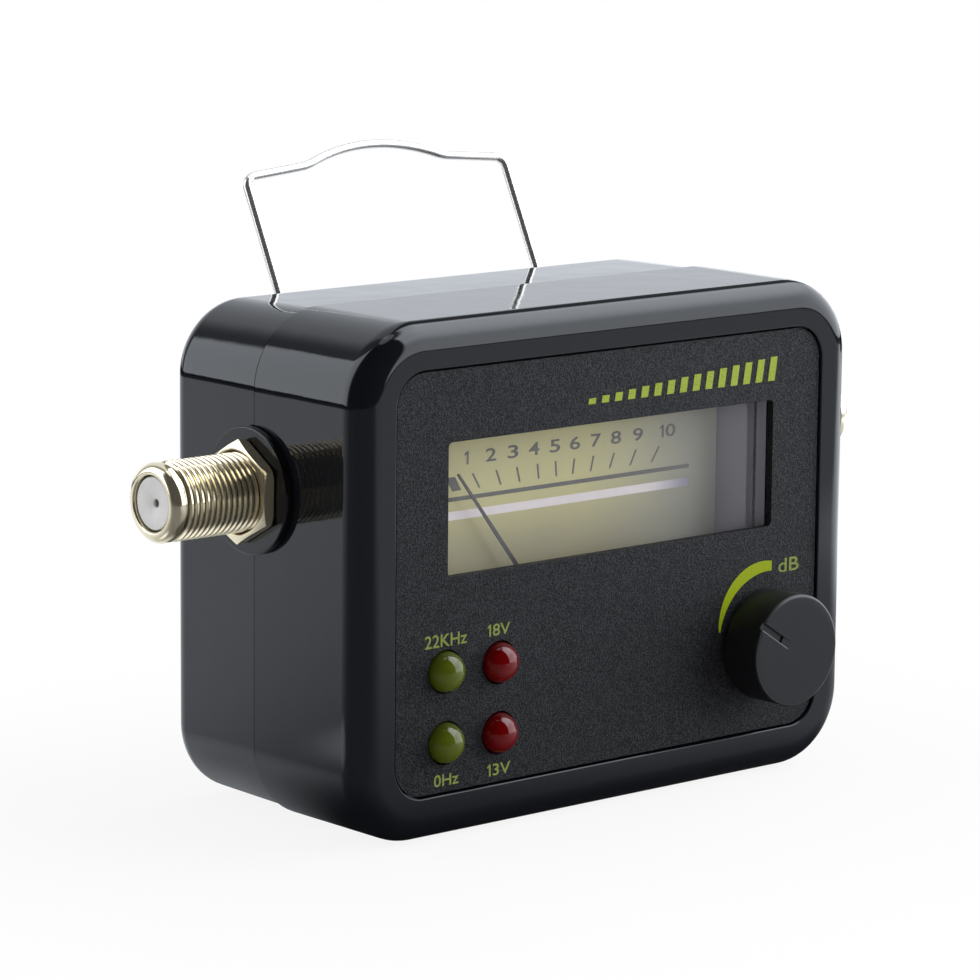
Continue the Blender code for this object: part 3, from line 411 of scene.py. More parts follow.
def skin(rings, closed=False):
    # joins the rings, and caps both ends unless the last ring meets the first
    bm = bmesh.new()
    rows = [[bm.verts.new(point) for point in points] for points in rings]
    for low, high in neighbours(rows, closed):
        for i in range(len(low)):
            j = (i + 1) % len(low)
            bm.faces.new((low[i], low[j], high[j], high[i]))
    if not closed:
        bm.faces.new(rows[0])
        bm.faces.new(rows[-1])
    return outward(bm)


def lathe(profile, sides=64, closed=False):
    # (radius, height) points turned about +Z
    bm = bmesh.new()
    rows = []
    for radius, height in profile:
        count = 1 if radius == 0 else sides
        turns = [math.tau * i / sides for i in range(count)]
        rows.append(
            [bm.verts.new(Vector((radius * math.cos(a), radius * math.sin(a), height)) * mm) for a in turns]
        )
    for low, high in neighbours(rows, closed):
        for i in range(sides):
            j = (i + 1) % sides
            corners = (low[i % len(low)], low[j % len(low)], high[j % len(high)], high[i % len(high)])
            bm.faces.new(list(dict.fromkeys(corners)))
    return outward(bm)


def curl(centre, radius, start, end, steps=8):
    # points on an arc, in degrees
    angles = [math.radians(start + (end - start) * i / steps) for i in range(steps + 1)]
    return [(centre[0] + radius * math.cos(a), centre[1] + radius * math.sin(a)) for a in angles]


def bar(low, high):
    bm = bmesh.new()
    bmesh.ops.create_cube(bm, size=1)
    span = Vector(high) - Vector(low)
    centre = (Vector(high) + Vector(low)) / 2
    return moved(bm, Matrix.Translation(centre * mm) @ Matrix.Diagonal((*(span * mm), 1)))


def block(low, high):
    # a bar between two points given as x, depth, z
    return bar(at(*low) / mm, at(*high) / mm)


def sheetOf(outline, near, far):
    # a flat outline of (x, z) points, between two depths
    front = [at(x, near, z) for x, z in outline]
    back = [at(x, far, z) for x, z in outline]
    return skin([front, back])


def strip(box, near, far):
    left, right, low, high = box
    return sheetOf([(left, low), (right, low), (right, high), (left, high)], near, far)


def frontward(x, depth, z, turn=0.0):
    # turns +Z to the front, then turns clockwise as the front shows it
    spin = Matrix.Rotation(math.radians(turn), 4, "Y")
    return Matrix.Translation(at(x, depth, z)) @ spin @ Matrix.Rotation(math.pi / 2, 4, "X")


def backward(x, depth, z):
    return Matrix.Translation(at(x, depth, z)) @ Matrix.Rotation(-math.pi / 2, 4, "X")


def sideward(side, x, depth, z):
    return Matrix.Translation(at(x, depth, z)) @ Matrix.Rotation(side * math.pi / 2, 4, "Y")


def moved(bm, matrix):
    bmesh.ops.transform(bm, matrix=matrix, verts=bm.verts)
    return bm


def pin(radius, length, place, sides=40):
    return moved(lathe([(0, 0), (radius, 0), (radius, length), (0, length)], sides), place)


def joined(*parts):
    whole = bmesh.new()
    for bm in parts:
        part = bpy.data.meshes.new("part")
        bm.to_mesh(part)
        bm.free()
        whole.from_mesh(part)
        bpy.data.meshes.remove(part)
    return whole


def linked(name, content):
    made = bpy.data.objects.new(name, content)
    bpy.context.scene.collection.objects.link(made)
    return made


def asObject(bm, name):
    mesh = bpy.data.meshes.new(name)
    bm.to_mesh(mesh)
    bm.free()
    return linked(name, mesh)


def evaluated(made):
    # the mesh of an object with its modifiers
    graph = bpy.context.evaluated_depsgraph_get()
    bm = bmesh.new()
    bm.from_mesh(bpy.data.meshes.new_from_object(made.evaluated_get(graph)))
    return bm


def combined(solid, tools, operation="DIFFERENCE"):
    # cuts the tools from a solid, or adds them to it
    target = asObject(solid, "solid")
    helpers = [asObject(tool, "tool") for tool in tools]
    for tool in helpers:
        step = target.modifiers.new("combine", "BOOLEAN")
        step.operation = operation
        step.solver = "EXACT"
        step.object = tool
    result = evaluated(target)
    bmesh.ops.remove_doubles(result, verts=result.verts, dist=0.0005 * mm)
    for helper in [target, *helpers]:
        bpy.data.objects.remove(helper, do_unlink=True)
    return result


def finishPiece(name, bm, slot, look, replaces=(), body="casing", sharp=32, edge=0.0, even=False):
    piece = asObject(bm, name)
    piece.data.materials.append(looks[look])
    piece.data.shade_smooth()
    piece.data.set_sharp_from_angle(angle=math.radians(sharp))
    if edge:
        step = piece.modifiers.new("edges", "BEVEL")
        step.width = edge * mm
        step.segments = 2
        step.limit_method = "ANGLE"
        step.angle_limit = math.radians(sharp)
    if even:
        step = piece.modifiers.new("evenNormals", "WEIGHTED_NORMAL")
        step.keep_sharp = True
        step.weight = 80
    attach(piece, body)
    if replaces:
        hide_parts(*replaces)


# camera, at the photograph's place

view = {
    "focal": 162.57,
    "azimuth": 41.045,
    "elevation": 10.151,
    "roll": 0.538,
    "target": (-20.358, 0.0, 10.387),
    "distance": 521.101,
    "sensor": 36,
    "clip": (0.02, 20),  # metres
}


def addCamera():
    turn, lift, roll = (math.radians(view[key]) for key in ("azimuth", "elevation", "roll"))
    back = Vector((-math.sin(turn) * math.cos(lift), -math.cos(turn) * math.cos(lift), math.sin(lift)))
    right = Vector((math.cos(turn), -math.sin(turn), 0))
    up = back.cross(right)
    rolledRight = right * math.cos(roll) + up * math.sin(roll)
    rolledUp = up * math.cos(roll) - right * math.sin(roll)
    lens = bpy.data.cameras.new("camera")
    lens.lens = view["focal"]
    lens.sensor_width = view["sensor"]
    lens.sensor_fit = "HORIZONTAL"
    lens.clip_start, lens.clip_end = view["clip"]
    camera = linked("camera", lens)
    place = at(*view["target"]) + back * view["distance"] * mm
    axes = Matrix((rolledRight, rolledUp, back)).transposed().to_4x4()
    camera.matrix_world = Matrix.Translation(place) @ axes
    bpy.context.scene.camera = camera


addCamera()
print("camera placed")


# studio: white all round for the camera; the gloss sees two softboxes, a dark camera side and a pale table

studio = {
    "fill": 0.52,  # even light on the object
    "keyHeading": (0.86, -0.32, 0.4),
    "keySize": (1.0, 0.5),
    "keyPower": 6.0,
    "leftHeading": (-0.66, 0.71, 0.23),
    "leftSize": (0.42, 0.34),
    "leftPower": 0.95,
    "boxDistance": 0.6,
    "tint": (0.95, 1.0, 1.07),
    # brightness of what the gloss sees, where 1 is white
    "flags": 0.22,
    "backWall": 0.97,
    "backFoot": 1.28,
    "leftBox": 2.15,
    "keyLow": 1.95,
    "keyHigh": 3.2,
    "overhead": 1.1,
    "cameraSide": 0.13,
    "paperRight": 1.4,
    "paperNear": 0.6,
    "paperGlow": 0.8,
    "glowPlace": (-83.0, 20.0),
    "floorRadius": 0.9,
    "floorDrop": 0.0002,
}


def rayKinds(sheet):
    kinds = ("Camera", "Glossy", "Transmission")
    camera, glossy, clear = [sheet.node("LightPath", {}, {}, "Is " + kind + " Ray") for kind in kinds]
    return camera, glossy + clear


def tinted(sheet, level):
    # a grey level from 0 to 4 as a slightly cool colour
    return sheet.blend(level * 0.25, (0.0, 0.0, 0.0), tuple(4 * part for part in studio["tint"]))


def addWorld():
    world = bpy.data.worlds.new("studio")
    world.use_nodes = True
    bpy.context.scene.world = world
    sheet = Sheet(world.node_tree, world.node_tree.nodes["Background"])
    heading = sheet.node("TexCoord", {}, {}, "Generated")
    x, y, z = [sheet.node("SeparateXYZ", {}, {0: heading}, axis) for axis in range(3)]
    # degrees: turn is 0 behind the object and 90 on its right, lift is 0 at the horizon
    turn = sheet.maths("ARCTAN2", x, y) * math.degrees(1)
    lift = sheet.maths("ARCSINE", z, 0.0) * math.degrees(1)
    flags = studio["flags"]
    # the wall behind, which ends lower on its right side
    back = turn.between(-19, 3, 41, 45) + turn.between(41, 45, 56, 60) * lift.fall(9, 12)
    wall = lift.rise(3.5, 7.5, studio["backFoot"], studio["backWall"]) * lift.rise(13, 24, 1.0, 0.86)
    level = back * (wall - flags) + flags - turn.between(42, 46, 54, 58) * lift.rise(10, 13) * 0.12
    # the key box on the right, brighter upwards and to the front
    key = turn.rise(55, 62) * lift.fall(66, 76)
    strength = lift.rise(25, 45, studio["keyLow"], studio["keyHigh"]) * turn.rise(60, 105, 0.8, 1.1)
    level = level + key * (strength - flags)
    # the left box, cut off along a slant
    left = turn.between(-68, -60, -26, -22) * (lift + turn * 0.9).fall(10, 12)
    level = level + left * (studio["leftBox"] - flags)
    # nothing is lit behind the camera, but for a lamp right overhead
    level = level * turn.between(-76, -64, 151, 156) + lift.rise(78, 81) * studio["overhead"]
    table = 1.0 - (turn.fall(-80, -60) + turn.rise(135, 150)) * (1.0 - studio["cameraSide"])
    above = lift.rise(-3.6, -3.4)
    level = table * (1.0 - above) + level * above
    camera, mirror = rayKinds(sheet)
    plain = sheet.blend(camera, (studio["fill"],) * 3, (1.0, 1.0, 1.0))
    sheet.feed(color=sheet.blend(mirror, plain, tinted(sheet, level)), strength=1.0)


def addSoftbox(name):
    # lights the object; the world above draws what the gloss shows of it
    heading, size, power = [studio[name + key] for key in ("Heading", "Size", "Power")]
    lamp = bpy.data.lights.new(name + "Softbox", "AREA")
    lamp.shape = "RECTANGLE"
    lamp.size, lamp.size_y = size
    lamp.energy = power
    made = linked(name + "Softbox", lamp)
    aim = at(0, halfDeep, 0)
    made.location = aim + Vector(heading).normalized() * studio["boxDistance"]
    made.rotation_euler = (made.location - aim).to_track_quat("Z", "Y").to_euler()
    made.visible_camera = made.visible_glossy = made.visible_transmission = False


def addFloor():
    bm = bmesh.new()
    bmesh.ops.create_circle(bm, cap_ends=True, segments=96, radius=studio["floorRadius"])
    floor = asObject(bm, "floor")
    sheet = newLook("paleFloor", baseColor=(0.8, 0.8, 0.8), roughness=0.9, specularIorLevel=0.0)
    x, y = sheet.along(0, 1)
    # how far outside the casing a point is, in millimetres
    beside = sheet.maths("MAXIMUM", abs(x) - 40.0, 0.0)
    before = sheet.maths("MAXIMUM", abs(y) - 18.5, 0.0)
    reach = sheet.length(beside, before)
    # how bright the gloss sees the paper behind, in front, far right and near the left side
    rear = (y / (abs(x) + 1.0)).rise(-0.25, 1.05, 0.0, 0.95)
    front = y.fall(-30, 30) * x.rise(-60, 60, 0.14, 0.6)
    right = x.rise(110, 190) * y.between(-170, -100, 60, 110) * studio["paperRight"]
    near = x.fall(-40, -28) * y.rise(-10, 14) * reach.fall(6, 26)
    # a glow that the lower half of the left connector mirrors
    glowX, glowY = studio["glowPlace"]
    glow = sheet.length(x - glowX, y - glowY).fall(7, 18)
    level = reach.rise(-4, 22) * (rear + front + right) + near * studio["paperNear"] + glow * studio["paperGlow"]
    # the paper ends behind, and further out all round
    level = level * (1.0 - reach.rise(340, 400) * y.rise(-60, 0) * 0.94) * reach.rise(490, 560, 1.0, 0.06)
    camera, mirror = rayKinds(sheet)
    white = sheet.node("Emission", {}, {"Color": (1, 1, 1), "Strength": 1.0})
    seen = sheet.node("Emission", {}, {"Color": tinted(sheet, level), "Strength": 1.0})
    faded = camera * reach.rise(0, 80, 0.88, 1.0)
    surface = Wire(sheet, sheet.shader.outputs[0])
    surface = sheet.node("MixShader", {}, {0: faded, 1: surface, 2: white})
    surface = sheet.node("MixShader", {}, {0: mirror, 1: surface, 2: seen})
    sheet.plug(sheet.tree.nodes["Material Output"].inputs["Surface"], surface)
    floor.data.materials.append(sheet.material)
    floor.location.z = -studio["floorDrop"]


addWorld()
addSoftbox("key")
addSoftbox("left")
addFloor()
bpy.context.scene.view_settings.view_transform = "Standard"
print("studio lit")

looks = {
    "casing": glossyCasing(),
    "plate": grainedPlate(),
    "knob": satinKnob(),
    "print": printInk("plateInk", finish["printTone"], (0.1, 0.13, 0.03)),
    "label": printInk("labelInk", finish["labelTone"], (0.07, 0.09, 0.03)),
    "wedge": printInk("wedgeInk", finish["wedgeTone"], (0.16, 0.23, 0.01)),
    "cover": clearCover(),
    "card": dialPaper(),
    # the faded colours are painted shade at the dial's right end
    "greyInk": plainInk("greyDialInk", (0.105, 0.105, 0.09), (0.15, 0.15, 0.12), faded=(0.16, 0.16, 0.15)),
    "whiteInk": plainInk("whiteDialInk", (0.92, 0.86, 0.88), (0.84, 0.78, 0.8), faded=(0.36, 0.35, 0.48)),
    "needle": moulded("needleLacquer", (0.045, 0.044, 0.048), (0.06, 0.058, 0.062), gloss=0.35),
    "nickel": threadedNickel(),
    "chrome": metal(
        "brightWire", (0.95, 0.93, 0.9), (0.88, 0.86, 0.84), gloss=0.18, grain=6.0, depth=0.0005, metallic=0.85
    ),
    "steel": metal("zincSteel", (0.58, 0.59, 0.61), (0.42, 0.43, 0.45), gloss=0.3, grain=5.0),
    "brass": metal(
        "turnedBrass", (0.62, 0.4, 0.17), (0.34, 0.2, 0.09), gloss=0.25, grain=5.0, depth=0.003, lines=(6, 1, 1)
    ),
    "washer": moulded("blackWasher", (0.003, 0.003, 0.004), (0.005, 0.005, 0.006), gloss=0.12),
    "insulator": moulded(
        "whiteInsulator", (0.8, 0.8, 0.79), (0.72, 0.72, 0.71), gloss=0.4, grain=5.0, depth=0.004
    ),
    "greenLamp": lampPlastic("greenLampResin", (0.086, 0.11, 0.008), (0.03, 0.038, 0.002)),
    "redLamp": lampPlastic("redLampResin", (0.14, 0.0012, 0.0016), (0.04, 0.0006, 0.0006)),
}
print("finishes made")


# casing

shell = {
    "chamfer": 0.12,  # where the two shells meet
    "pocketLip": 0.18,  # rounding of the rim round the plate
    "pocketFloor": 1.6,
    "meterHole": (26.9, 12.7, 0.2),  # half width, half height, corner
    "meterRise": 8.7,
    "lipInside": (36.85, 27.7, 6.3),
    "lipOutside": (37.85, 28.7, 7.3),
    "lipFront": 18.3,
    "lipRoot": 22.4,
    "post": 2.4,
    "postBase": 35.3,
    "postLength": 12.9,
    "headFloor": 34.8,
}
lug = {"x": 18.3, "length": 3.8, "radius": 1.5, "depth": 38.4, "z": 28.2, "root": -3.7, "chamfer": 0.15}


def connectorHoles():
    place = halfWide - 4
    return [
        pin(bores["connector"], 6, sideward(side, side * place, casing["seam"], connector["rise"]), 48)
        for side in (-1, 1)
    ]


def faceHoles(depth, lampSides=40, bushingSides=40):
    # from a depth out past the front
    holes = [pin(bores["lamp"], depth + 1, frontward(x, depth, z), lampSides) for x, z in lampPlaces]
    holes.append(pin(bores["bushing"], depth + 1, frontward(knob["x"], depth, knob["z"]), bushingSides))
    return holes


def frontShell():
    outer = (halfWide, halfTall, casing["corner"])
    wall, edge, seam, lip = casing["wall"], casing["frontEdge"], casing["seam"], shell["pocketLip"]
    pocket = [size + plate["gap"] for size in (plate["width"] / 2, plate["height"] / 2, plate["corner"])]
    rings = [
        ring(*shell["meterHole"], casing["frontWall"], shell["meterRise"]),
        shrunk(outer, wall, casing["frontWall"]),
        shrunk(outer, wall, seam),
        shrunk(outer, shell["chamfer"], seam),
        shrunk(outer, 0, seam - shell["chamfer"]),
    ]
    rings += [shrunk(outer, inset, depth) for inset, depth in curl((edge, edge), edge, 180, 270, 12)]
    rings += [shrunk(pocket, inset - lip, depth) for inset, depth in curl((0, lip), lip, 270, 360, 4)]
    rings.append(ring(*pocket, shell["pocketFloor"]))
    rings.append(ring(*shell["meterHole"], shell["pocketFloor"], shell["meterRise"]))
    solid = combined(skin(rings, closed=True), faceHoles(5) + connectorHoles())
    finishPiece("front_casing", solid, "casing", "casing", ["front_shell"], even=True)


def rearShell():
    step, wall, edge = casing["step"], casing["wall"], casing["rearEdge"]
    outer = (halfWide - step, halfTall - step, casing["corner"] - step)
    start = casing["seam"] + casing["gap"]
    rings = [
        shrunk(outer, wall, casing["depth"] - wall),
        shrunk(outer, wall, shell["lipRoot"]),
        ring(*shell["lipInside"], shell["lipRoot"]),
        ring(*shell["lipInside"], shell["lipFront"]),
        ring(*shell["lipOutside"], shell["lipFront"]),
        ring(*shell["lipOutside"], start),
        shrunk(outer, shell["chamfer"], start),
        shrunk(outer, 0, start + shell["chamfer"]),
    ]
    rounding = curl((edge + casing["draft"], casing["depth"] - edge), edge, 180, 90, 12)
    rings += [shrunk(outer, inset, depth) for inset, depth in rounding]
    posts = [pin(shell["post"], shell["postLength"], frontward(x, shell["postBase"], z)) for x, z in screwPlaces]
    solid = combined(skin(rings), posts, "UNION")
    holes = [pin(bores["screwHead"], 3, backward(x, shell["headFloor"], z)) for x, z in screwPlaces]
    holes += [pin(bores["screw"], 18, backward(x, 20, z), 24) for x, z in screwPlaces]
    solid = combined(solid, holes + connectorHoles())
    finishPiece("rear_casing", joined(solid, *bailLugs()), "casing", "casing", ["rear_shell"], even=True)


def bailLugs():
    # round-backed ears, bored for the wire
    lugs = []
    radius, root, chamfer, length = lug["radius"], lug["root"], lug["chamfer"], lug["length"]
    outline = [(root, -radius), *curl((0, 0), radius, -90, 90, 20), (root, radius)]
    for side in (-1, 1):
        start = side * lug["x"] - length / 2
        rims = []
        for x, grow in ((0, -chamfer), (chamfer, 0), (length - chamfer, 0), (length, -chamfer)):
            scale = 1 + grow / radius
            shape = [(lug["depth"] + d * (scale if d > 0 else 1), lug["z"] + z * scale) for d, z in outline]
            rims.append([at(start + x, depth, level) for depth, level in shape])
        bore = pin(bores["bail"], 6, sideward(1, start - 1, lug["depth"], lug["z"]), 24)
        lugs.append(combined(skin(rims), [bore]))
    return lugs


frontShell()
rearShell()
print("casing built")


# front plate and what is printed on it

printDepth = 0.03
labels = {
    "22KHz": ((-26.75, -6.85), (6.5, 1.55)),
    "8V": ((-18.1, -6.65), (2.75, 1.45)),
    "0Hz": ((-26.55, -23.75), (3.8, 1.45)),
    "3V": ((-17.88, -23.7), (2.8, 1.45)),
    "dB": ((29.75, -4.65), (3.6, 1.75)),
}
labelOnes = {"places": [(-19.75, -6.65), (-19.6, -23.7)], "tall": 1.45, "thick": 0.26}
levelBars = {
    "count": 15,
    "left": -4.6,
    "right": 26.6,
    "bottom": 19.0,
    "low": 0.7,
    "high": 3.0,
    "width": 1.15,
    "slant": 0.16,
}
wedge = {"outer": ((25.31, -11.24), 7.53, 78.6, 184), "inner": ((26.27, -13.43), 8.35, 170, 86.4)}  # two arcs


def frontPlate():
    wide, tall, corner = plate["width"] / 2, plate["height"] / 2, plate["corner"]
    slab = skin([ring(wide, tall, corner, plate[face]) for face in ("front", "back")])
    middle, half = (window["top"] + window["bottom"]) / 2, (window["top"] - window["bottom"]) / 2
    opening = [ring(window["width"] / 2, half, window["corner"], depth, middle, 6) for depth in (-1, 3)]
    solid = combined(slab, [skin(opening), *faceHoles(3, 56, 48)])
    finishPiece("textured_plate", solid, "plate", "plate", ["front_plate"], edge=plate["edge"])


def lettering(words, centre, size, front, weight=0.008):
    # a word as a thin mesh, sized to fit a width and height in millimetres
    curve = bpy.data.curves.new("words", "FONT")
    curve.body = words
    curve.extrude = 0.5
    curve.offset = weight
    curve.resolution_u = 6
    holder = linked("words", curve)
    bm = evaluated(holder)
    bpy.data.objects.remove(holder, do_unlink=True)
    low = [min(v.co[axis] for v in bm.verts) for axis in range(3)]
    high = [max(v.co[axis] for v in bm.verts) for axis in range(3)]
    for v in bm.verts:
        share = [(v.co[axis] - low[axis]) / (high[axis] - low[axis]) - 0.5 for axis in range(3)]
        x = centre[0] + share[0] * size[0]
        z = centre[1] + share[1] * size[1]
        v.co = at(x, front + (0.5 - share[2]) * printDepth, z)
    return outward(bm)


def figureOne(x, z, tall, thick, front):
    # the font's own 1 is a plain bar; here x is its right side and z its middle
    low, high = z - tall / 2, z + tall / 2
    outline = [(x - thick, low), (x, low), (x, high), (x - thick * 0.8, high)]
    outline += [(x - thick * 2.1, high - tall * 0.2), (x - thick * 1.9, high - tall * 0.33)]
    outline.append((x - thick, high - tall * 0.22))
    return sheetOf(outline, front, front + printDepth)


def plateLabels():
    front = plate["front"] - printDepth + 0.005
    words = [lettering(word, centre, size, front) for word, (centre, size) in labels.items()]
    words += [figureOne(x, z, labelOnes["tall"], labelOnes["thick"], front) for x, z in labelOnes["places"]]
    finishPiece("plate_labels", joined(*words), "plate", "label")
    bars = []
    low, wide, last = levelBars["bottom"], levelBars["width"], levelBars["count"] - 1
    gap = (levelBars["right"] - levelBars["left"] - wide) / last
    for i in range(levelBars["count"]):
        x = levelBars["left"] + gap * i
        tall = levelBars["low"] + (levelBars["high"] - levelBars["low"]) * (i / last)
        lean = tall * levelBars["slant"]
        outline = [(x, low), (x + wide, low), (x + wide + lean, low + tall), (x + lean, low + tall)]
        bars.append(sheetOf(outline, front, front + printDepth))
    finishPiece("level_bars", joined(*bars), "plate", "print")
    sweep = sheetOf(curl(*wedge["outer"], 40) + curl(*wedge["inner"], 40), front, front + printDepth)
    finishPiece("gain_wedge", sweep, "plate", "wedge")


frontPlate()
plateLabels()
print("plate built and printed")


# meter behind its window

dial = {
    "front": 8.0,
    "back": 8.8,
    "half": 24.2,
    "bottom": -1.3,
    "top": 18.7,
    "ticks": (  # x and z of the upper end, then of the lower end
        (-16.2, 10.84, -15.06, 8.95),
        (-12.45, 10.84, -11.68, 8.95),
        (-9.13, 10.84, -8.65, 8.95),
        (-5.82, 10.9, -5.58, 9.0),
        (-2.87, 10.9, -2.72, 9.0),
        (0.22, 10.9, -0.06, 9.0),
        (3.37, 10.92, 2.9, 9.02),
        (6.79, 10.92, 6.05, 9.04),
        (10.46, 10.95, 9.51, 9.06),
        (14.34, 10.95, 13.09, 9.06),
    ),
    "tickWidth": 0.28,
    "numbers": (-17.08, -13.29, -9.77, -6.39, -2.99, 0.29, 3.75, 7.07, 10.76, 15.67),
    "numberHeight": 12.8,
    "numberSize": (1.68, 1.6),
    "numberWeight": 0.013,
    "oneThick": 0.32,
    "oneShift": {1: 0.25, 10: -0.55},  # from the number's place to the right side of its 1
    "noughtShift": 0.6,
    "line": (-24.0, 19.5, 7.72, 8.24),
    "band": (-24.0, 19.4, 5.45, 6.5),
    "block": ((-20.4, 10.7), (-18.95, 10.7), (-17.95, 9.0), (-19.35, 8.95)),
}
needle = {
    "pivot": -14.1,
    "front": 6.38,
    "back": 6.6,
    "length": 32.2,
    "root": 0.75,
    "tip": 0.3,
    "tail": 5.5,
    "tailHalf": 0.8,
    "weights": ((-0.45, -4.7), (0.45, -4.7)),
    "turn": -37.9,
}


def dialCard():
    card = block((-dial["half"], dial["front"], dial["bottom"]), (dial["half"], dial["back"], dial["top"]))
    finishPiece("printed_card", card, "dial_card", "card", ["dial_card"])
    front, back = dial["front"] - 0.02, dial["front"] + 0.01
    marks = []
    half = dial["tickWidth"] / 2
    for x1, z1, x2, z2 in dial["ticks"]:
        marks.append(sheetOf([(x1 - half, z1), (x2 - half, z2), (x2 + half, z2), (x1 + half, z1)], front, back))
    size, rise = dial["numberSize"], dial["numberHeight"]
    for number, x in enumerate(dial["numbers"], 1):
        if number in dial["oneShift"]:
            marks.append(figureOne(x + dial["oneShift"][number], rise, size[1], dial["oneThick"], front))
            x += dial["noughtShift"]
        if number > 1:
            marks.append(lettering(str(number)[-1], (x, rise), size, front, dial["numberWeight"]))
    marks += [strip(dial["line"], front, back), sheetOf(dial["block"], front, back)]
    finishPiece("dial_marks", joined(*marks), "dial_card", "greyInk")
    band = strip(dial["band"], front, back)
    finishPiece("white_band", band, "dial_card", "whiteInk")


def pointer():
    # a flat blade with a balance tail, on a hub round its staff
    def turned(points):
        c, s = math.cos(math.radians(needle["turn"])), math.sin(math.radians(needle["turn"]))
        return [(x * c + z * s, needle["pivot"] + z * c - x * s) for x, z in points]

    tip, root, wide = needle["tip"] / 2, needle["root"] / 2, needle["tailHalf"]
    length, tail = needle["length"], needle["tail"]
    outline = [(-tip, length - 0.1), (-root, 0), (-wide, -tail), (wide, -tail), (root, 0)]
    outline += [(tip, length - 0.1), (0, length)]
    blade = sheetOf(turned(outline), needle["front"], needle["back"])
    hub = lathe([(0.8, 1.0), (1.5, 1.0), (1.6, 0.9), (1.6, 0.1), (1.5, 0), (0.8, 0)], 40, closed=True)
    hub = moved(hub, frontward(0, 7.0, needle["pivot"]))
    weights = [pin(0.3, 0.9, frontward(x, 6.95, z), 20) for x, z in turned(needle["weights"])]
    whole = joined(blade, hub, *weights)
    finishPiece("dial_pointer", whole, "needle", "needle", ["pointer_needle"], body="needle")


dialCard()
pointer()
print("meter built")


# lamps

lamp = {
    "radius": 2.5,
    "dome": 6.1,
    "flange": 2.9,
    "flangeTall": 1.0,
    "base": 6.7,
    "leadPlace": 1.27,
    "leadHalf": 0.25,
    "leadStart": 5.7,
    "leadEnd": 22.7,
}


def lamps():
    radius, flange, tall, half = lamp["radius"], lamp["flange"], lamp["flangeTall"], lamp["leadHalf"]
    profile = curl((0, lamp["dome"]), radius, 90, 0, 20) + [(radius, tall + 0.05), (flange - 0.04, tall)]
    profile += [(flange, tall - 0.05), (flange, 0.05), (flange - 0.05, 0), (0, 0)]
    for name, (x, z) in zip(("green_upper", "green_lower", "red_upper", "red_lower"), lampPlaces):
        color = name.split("_")[0]
        pieces = [moved(lathe(profile, 64), frontward(x, lamp["base"], z))]
        for lead in (-lamp["leadPlace"], lamp["leadPlace"]):
            low, high = x + lead - half, x + lead + half
            pieces.append(block((low, lamp["leadStart"], z - half), (high, lamp["leadEnd"], z + half)))
        whole = joined(*pieces)
        finishPiece("lamp_" + name, whole, color + "_lamp", color + "Lamp", ["led_" + name], even=True)


lamps()
print("lamps built")


# gain knob, with a groove that runs up to the face at its inner end

def gainKnob():
    top, edge, radius, half = knob["height"], knob["edge"], knob["radius"], knob["groove"] / 2
    profile = [(0, top), (radius - edge - 0.6, top), *curl((radius - edge, top - edge), edge, 90, 0, 8)]
    profile += [(radius, 0.25), (radius - 0.25, 0), (5.65, 0), (5.65, 3.8), (4.35, 3.8), (4.35, 0), (3.15, 0)]
    profile += [(3.15, 4.7), (0, 4.7)]
    start, end = knob["grooveEnds"]
    deep = bar((-half, start, top - knob["grooveDeep"]), (half, end, top + 1))
    start, end = knob["rampEnds"]
    ramp = [(start, top + 0.01), (end, top - knob["rampDeep"]), (end, top + 1), (start, top + 1)]
    ramp = skin([[Vector((x, y, z)) * mm for y, z in ramp] for x in (-half, half)])
    solid = combined(lathe(profile, 128), [deep, ramp])
    solid = moved(solid, frontward(knob["x"], knob["back"], knob["z"], knob["turn"]))
    finishPiece("pointer_knob", solid, "knob", "knob", ["gain_knob"], body="knob", edge=0.09)


gainKnob()
print("knob built")


# connectors

def threadSurface(start, end, steps=48):
    # one continuous helix of 60-degree turns that fades out at both ends
    bm = bmesh.new()
    turns = int((end - start) / connector["pitch"]) - 1
    shape = ((0.0, 0.0), (0.3, 1.0), (0.6, 1.0), (0.9, 0.0))
    rows = []
    for i in range(turns * steps + 1):
        angle = math.tau * i / steps
        base = start + connector["pitch"] * i / steps
        row = []
        for offset, height in shape:
            level = base + offset * connector["pitch"]
            fade = max(0.0, min(1.0, (level - start) / 0.6, (end - level) / 0.35))
            radius = connector["root"] + (connector["radius"] - connector["root"]) * height * fade
            row.append(bm.verts.new(Vector((radius * math.cos(angle), radius * math.sin(angle), level)) * mm))
        rows.append(row)
    for i in range(turns * steps):
        for k in range(len(shape)):
            if k + 1 < len(shape):
                bm.faces.new((rows[i][k], rows[i + 1][k], rows[i + 1][k + 1], rows[i][k + 1]))
            elif i + steps + 1 < len(rows):
                bm.faces.new((rows[i][k], rows[i + 1][k], rows[i + steps + 1][0], rows[i + steps][0]))
    return bm


def barrel():
    # a turned body: collar with a rounded nose, relief behind it, inner flange and tail
    reach, radius, root = connector["reach"], connector["radius"], connector["root"] - 0.03
    shoulder = reach - connector["collar"]
    profile = curl((3.63, reach - 0.28), 0.28, 180, 90, 5)
    profile += curl((radius - 1.1, reach - 1.1), 1.1, 90, 0, 12)
    profile += [(radius, shoulder + 0.45), (radius - 0.2, shoulder + 0.25), (root, shoulder + 0.05), (root, 0.35)]
    profile += [(radius, 0.1), (radius, -3.6), (6.2, -3.6), (6.2, -5.0), (4.6, -5.0), (4.6, -8.0), (0.9, -8.0)]
    profile += [(0.9, -6.8), (3.35, -6.8)]
    return joined(lathe(profile, 96, closed=True), threadSurface(0.5, shoulder + 0.15))


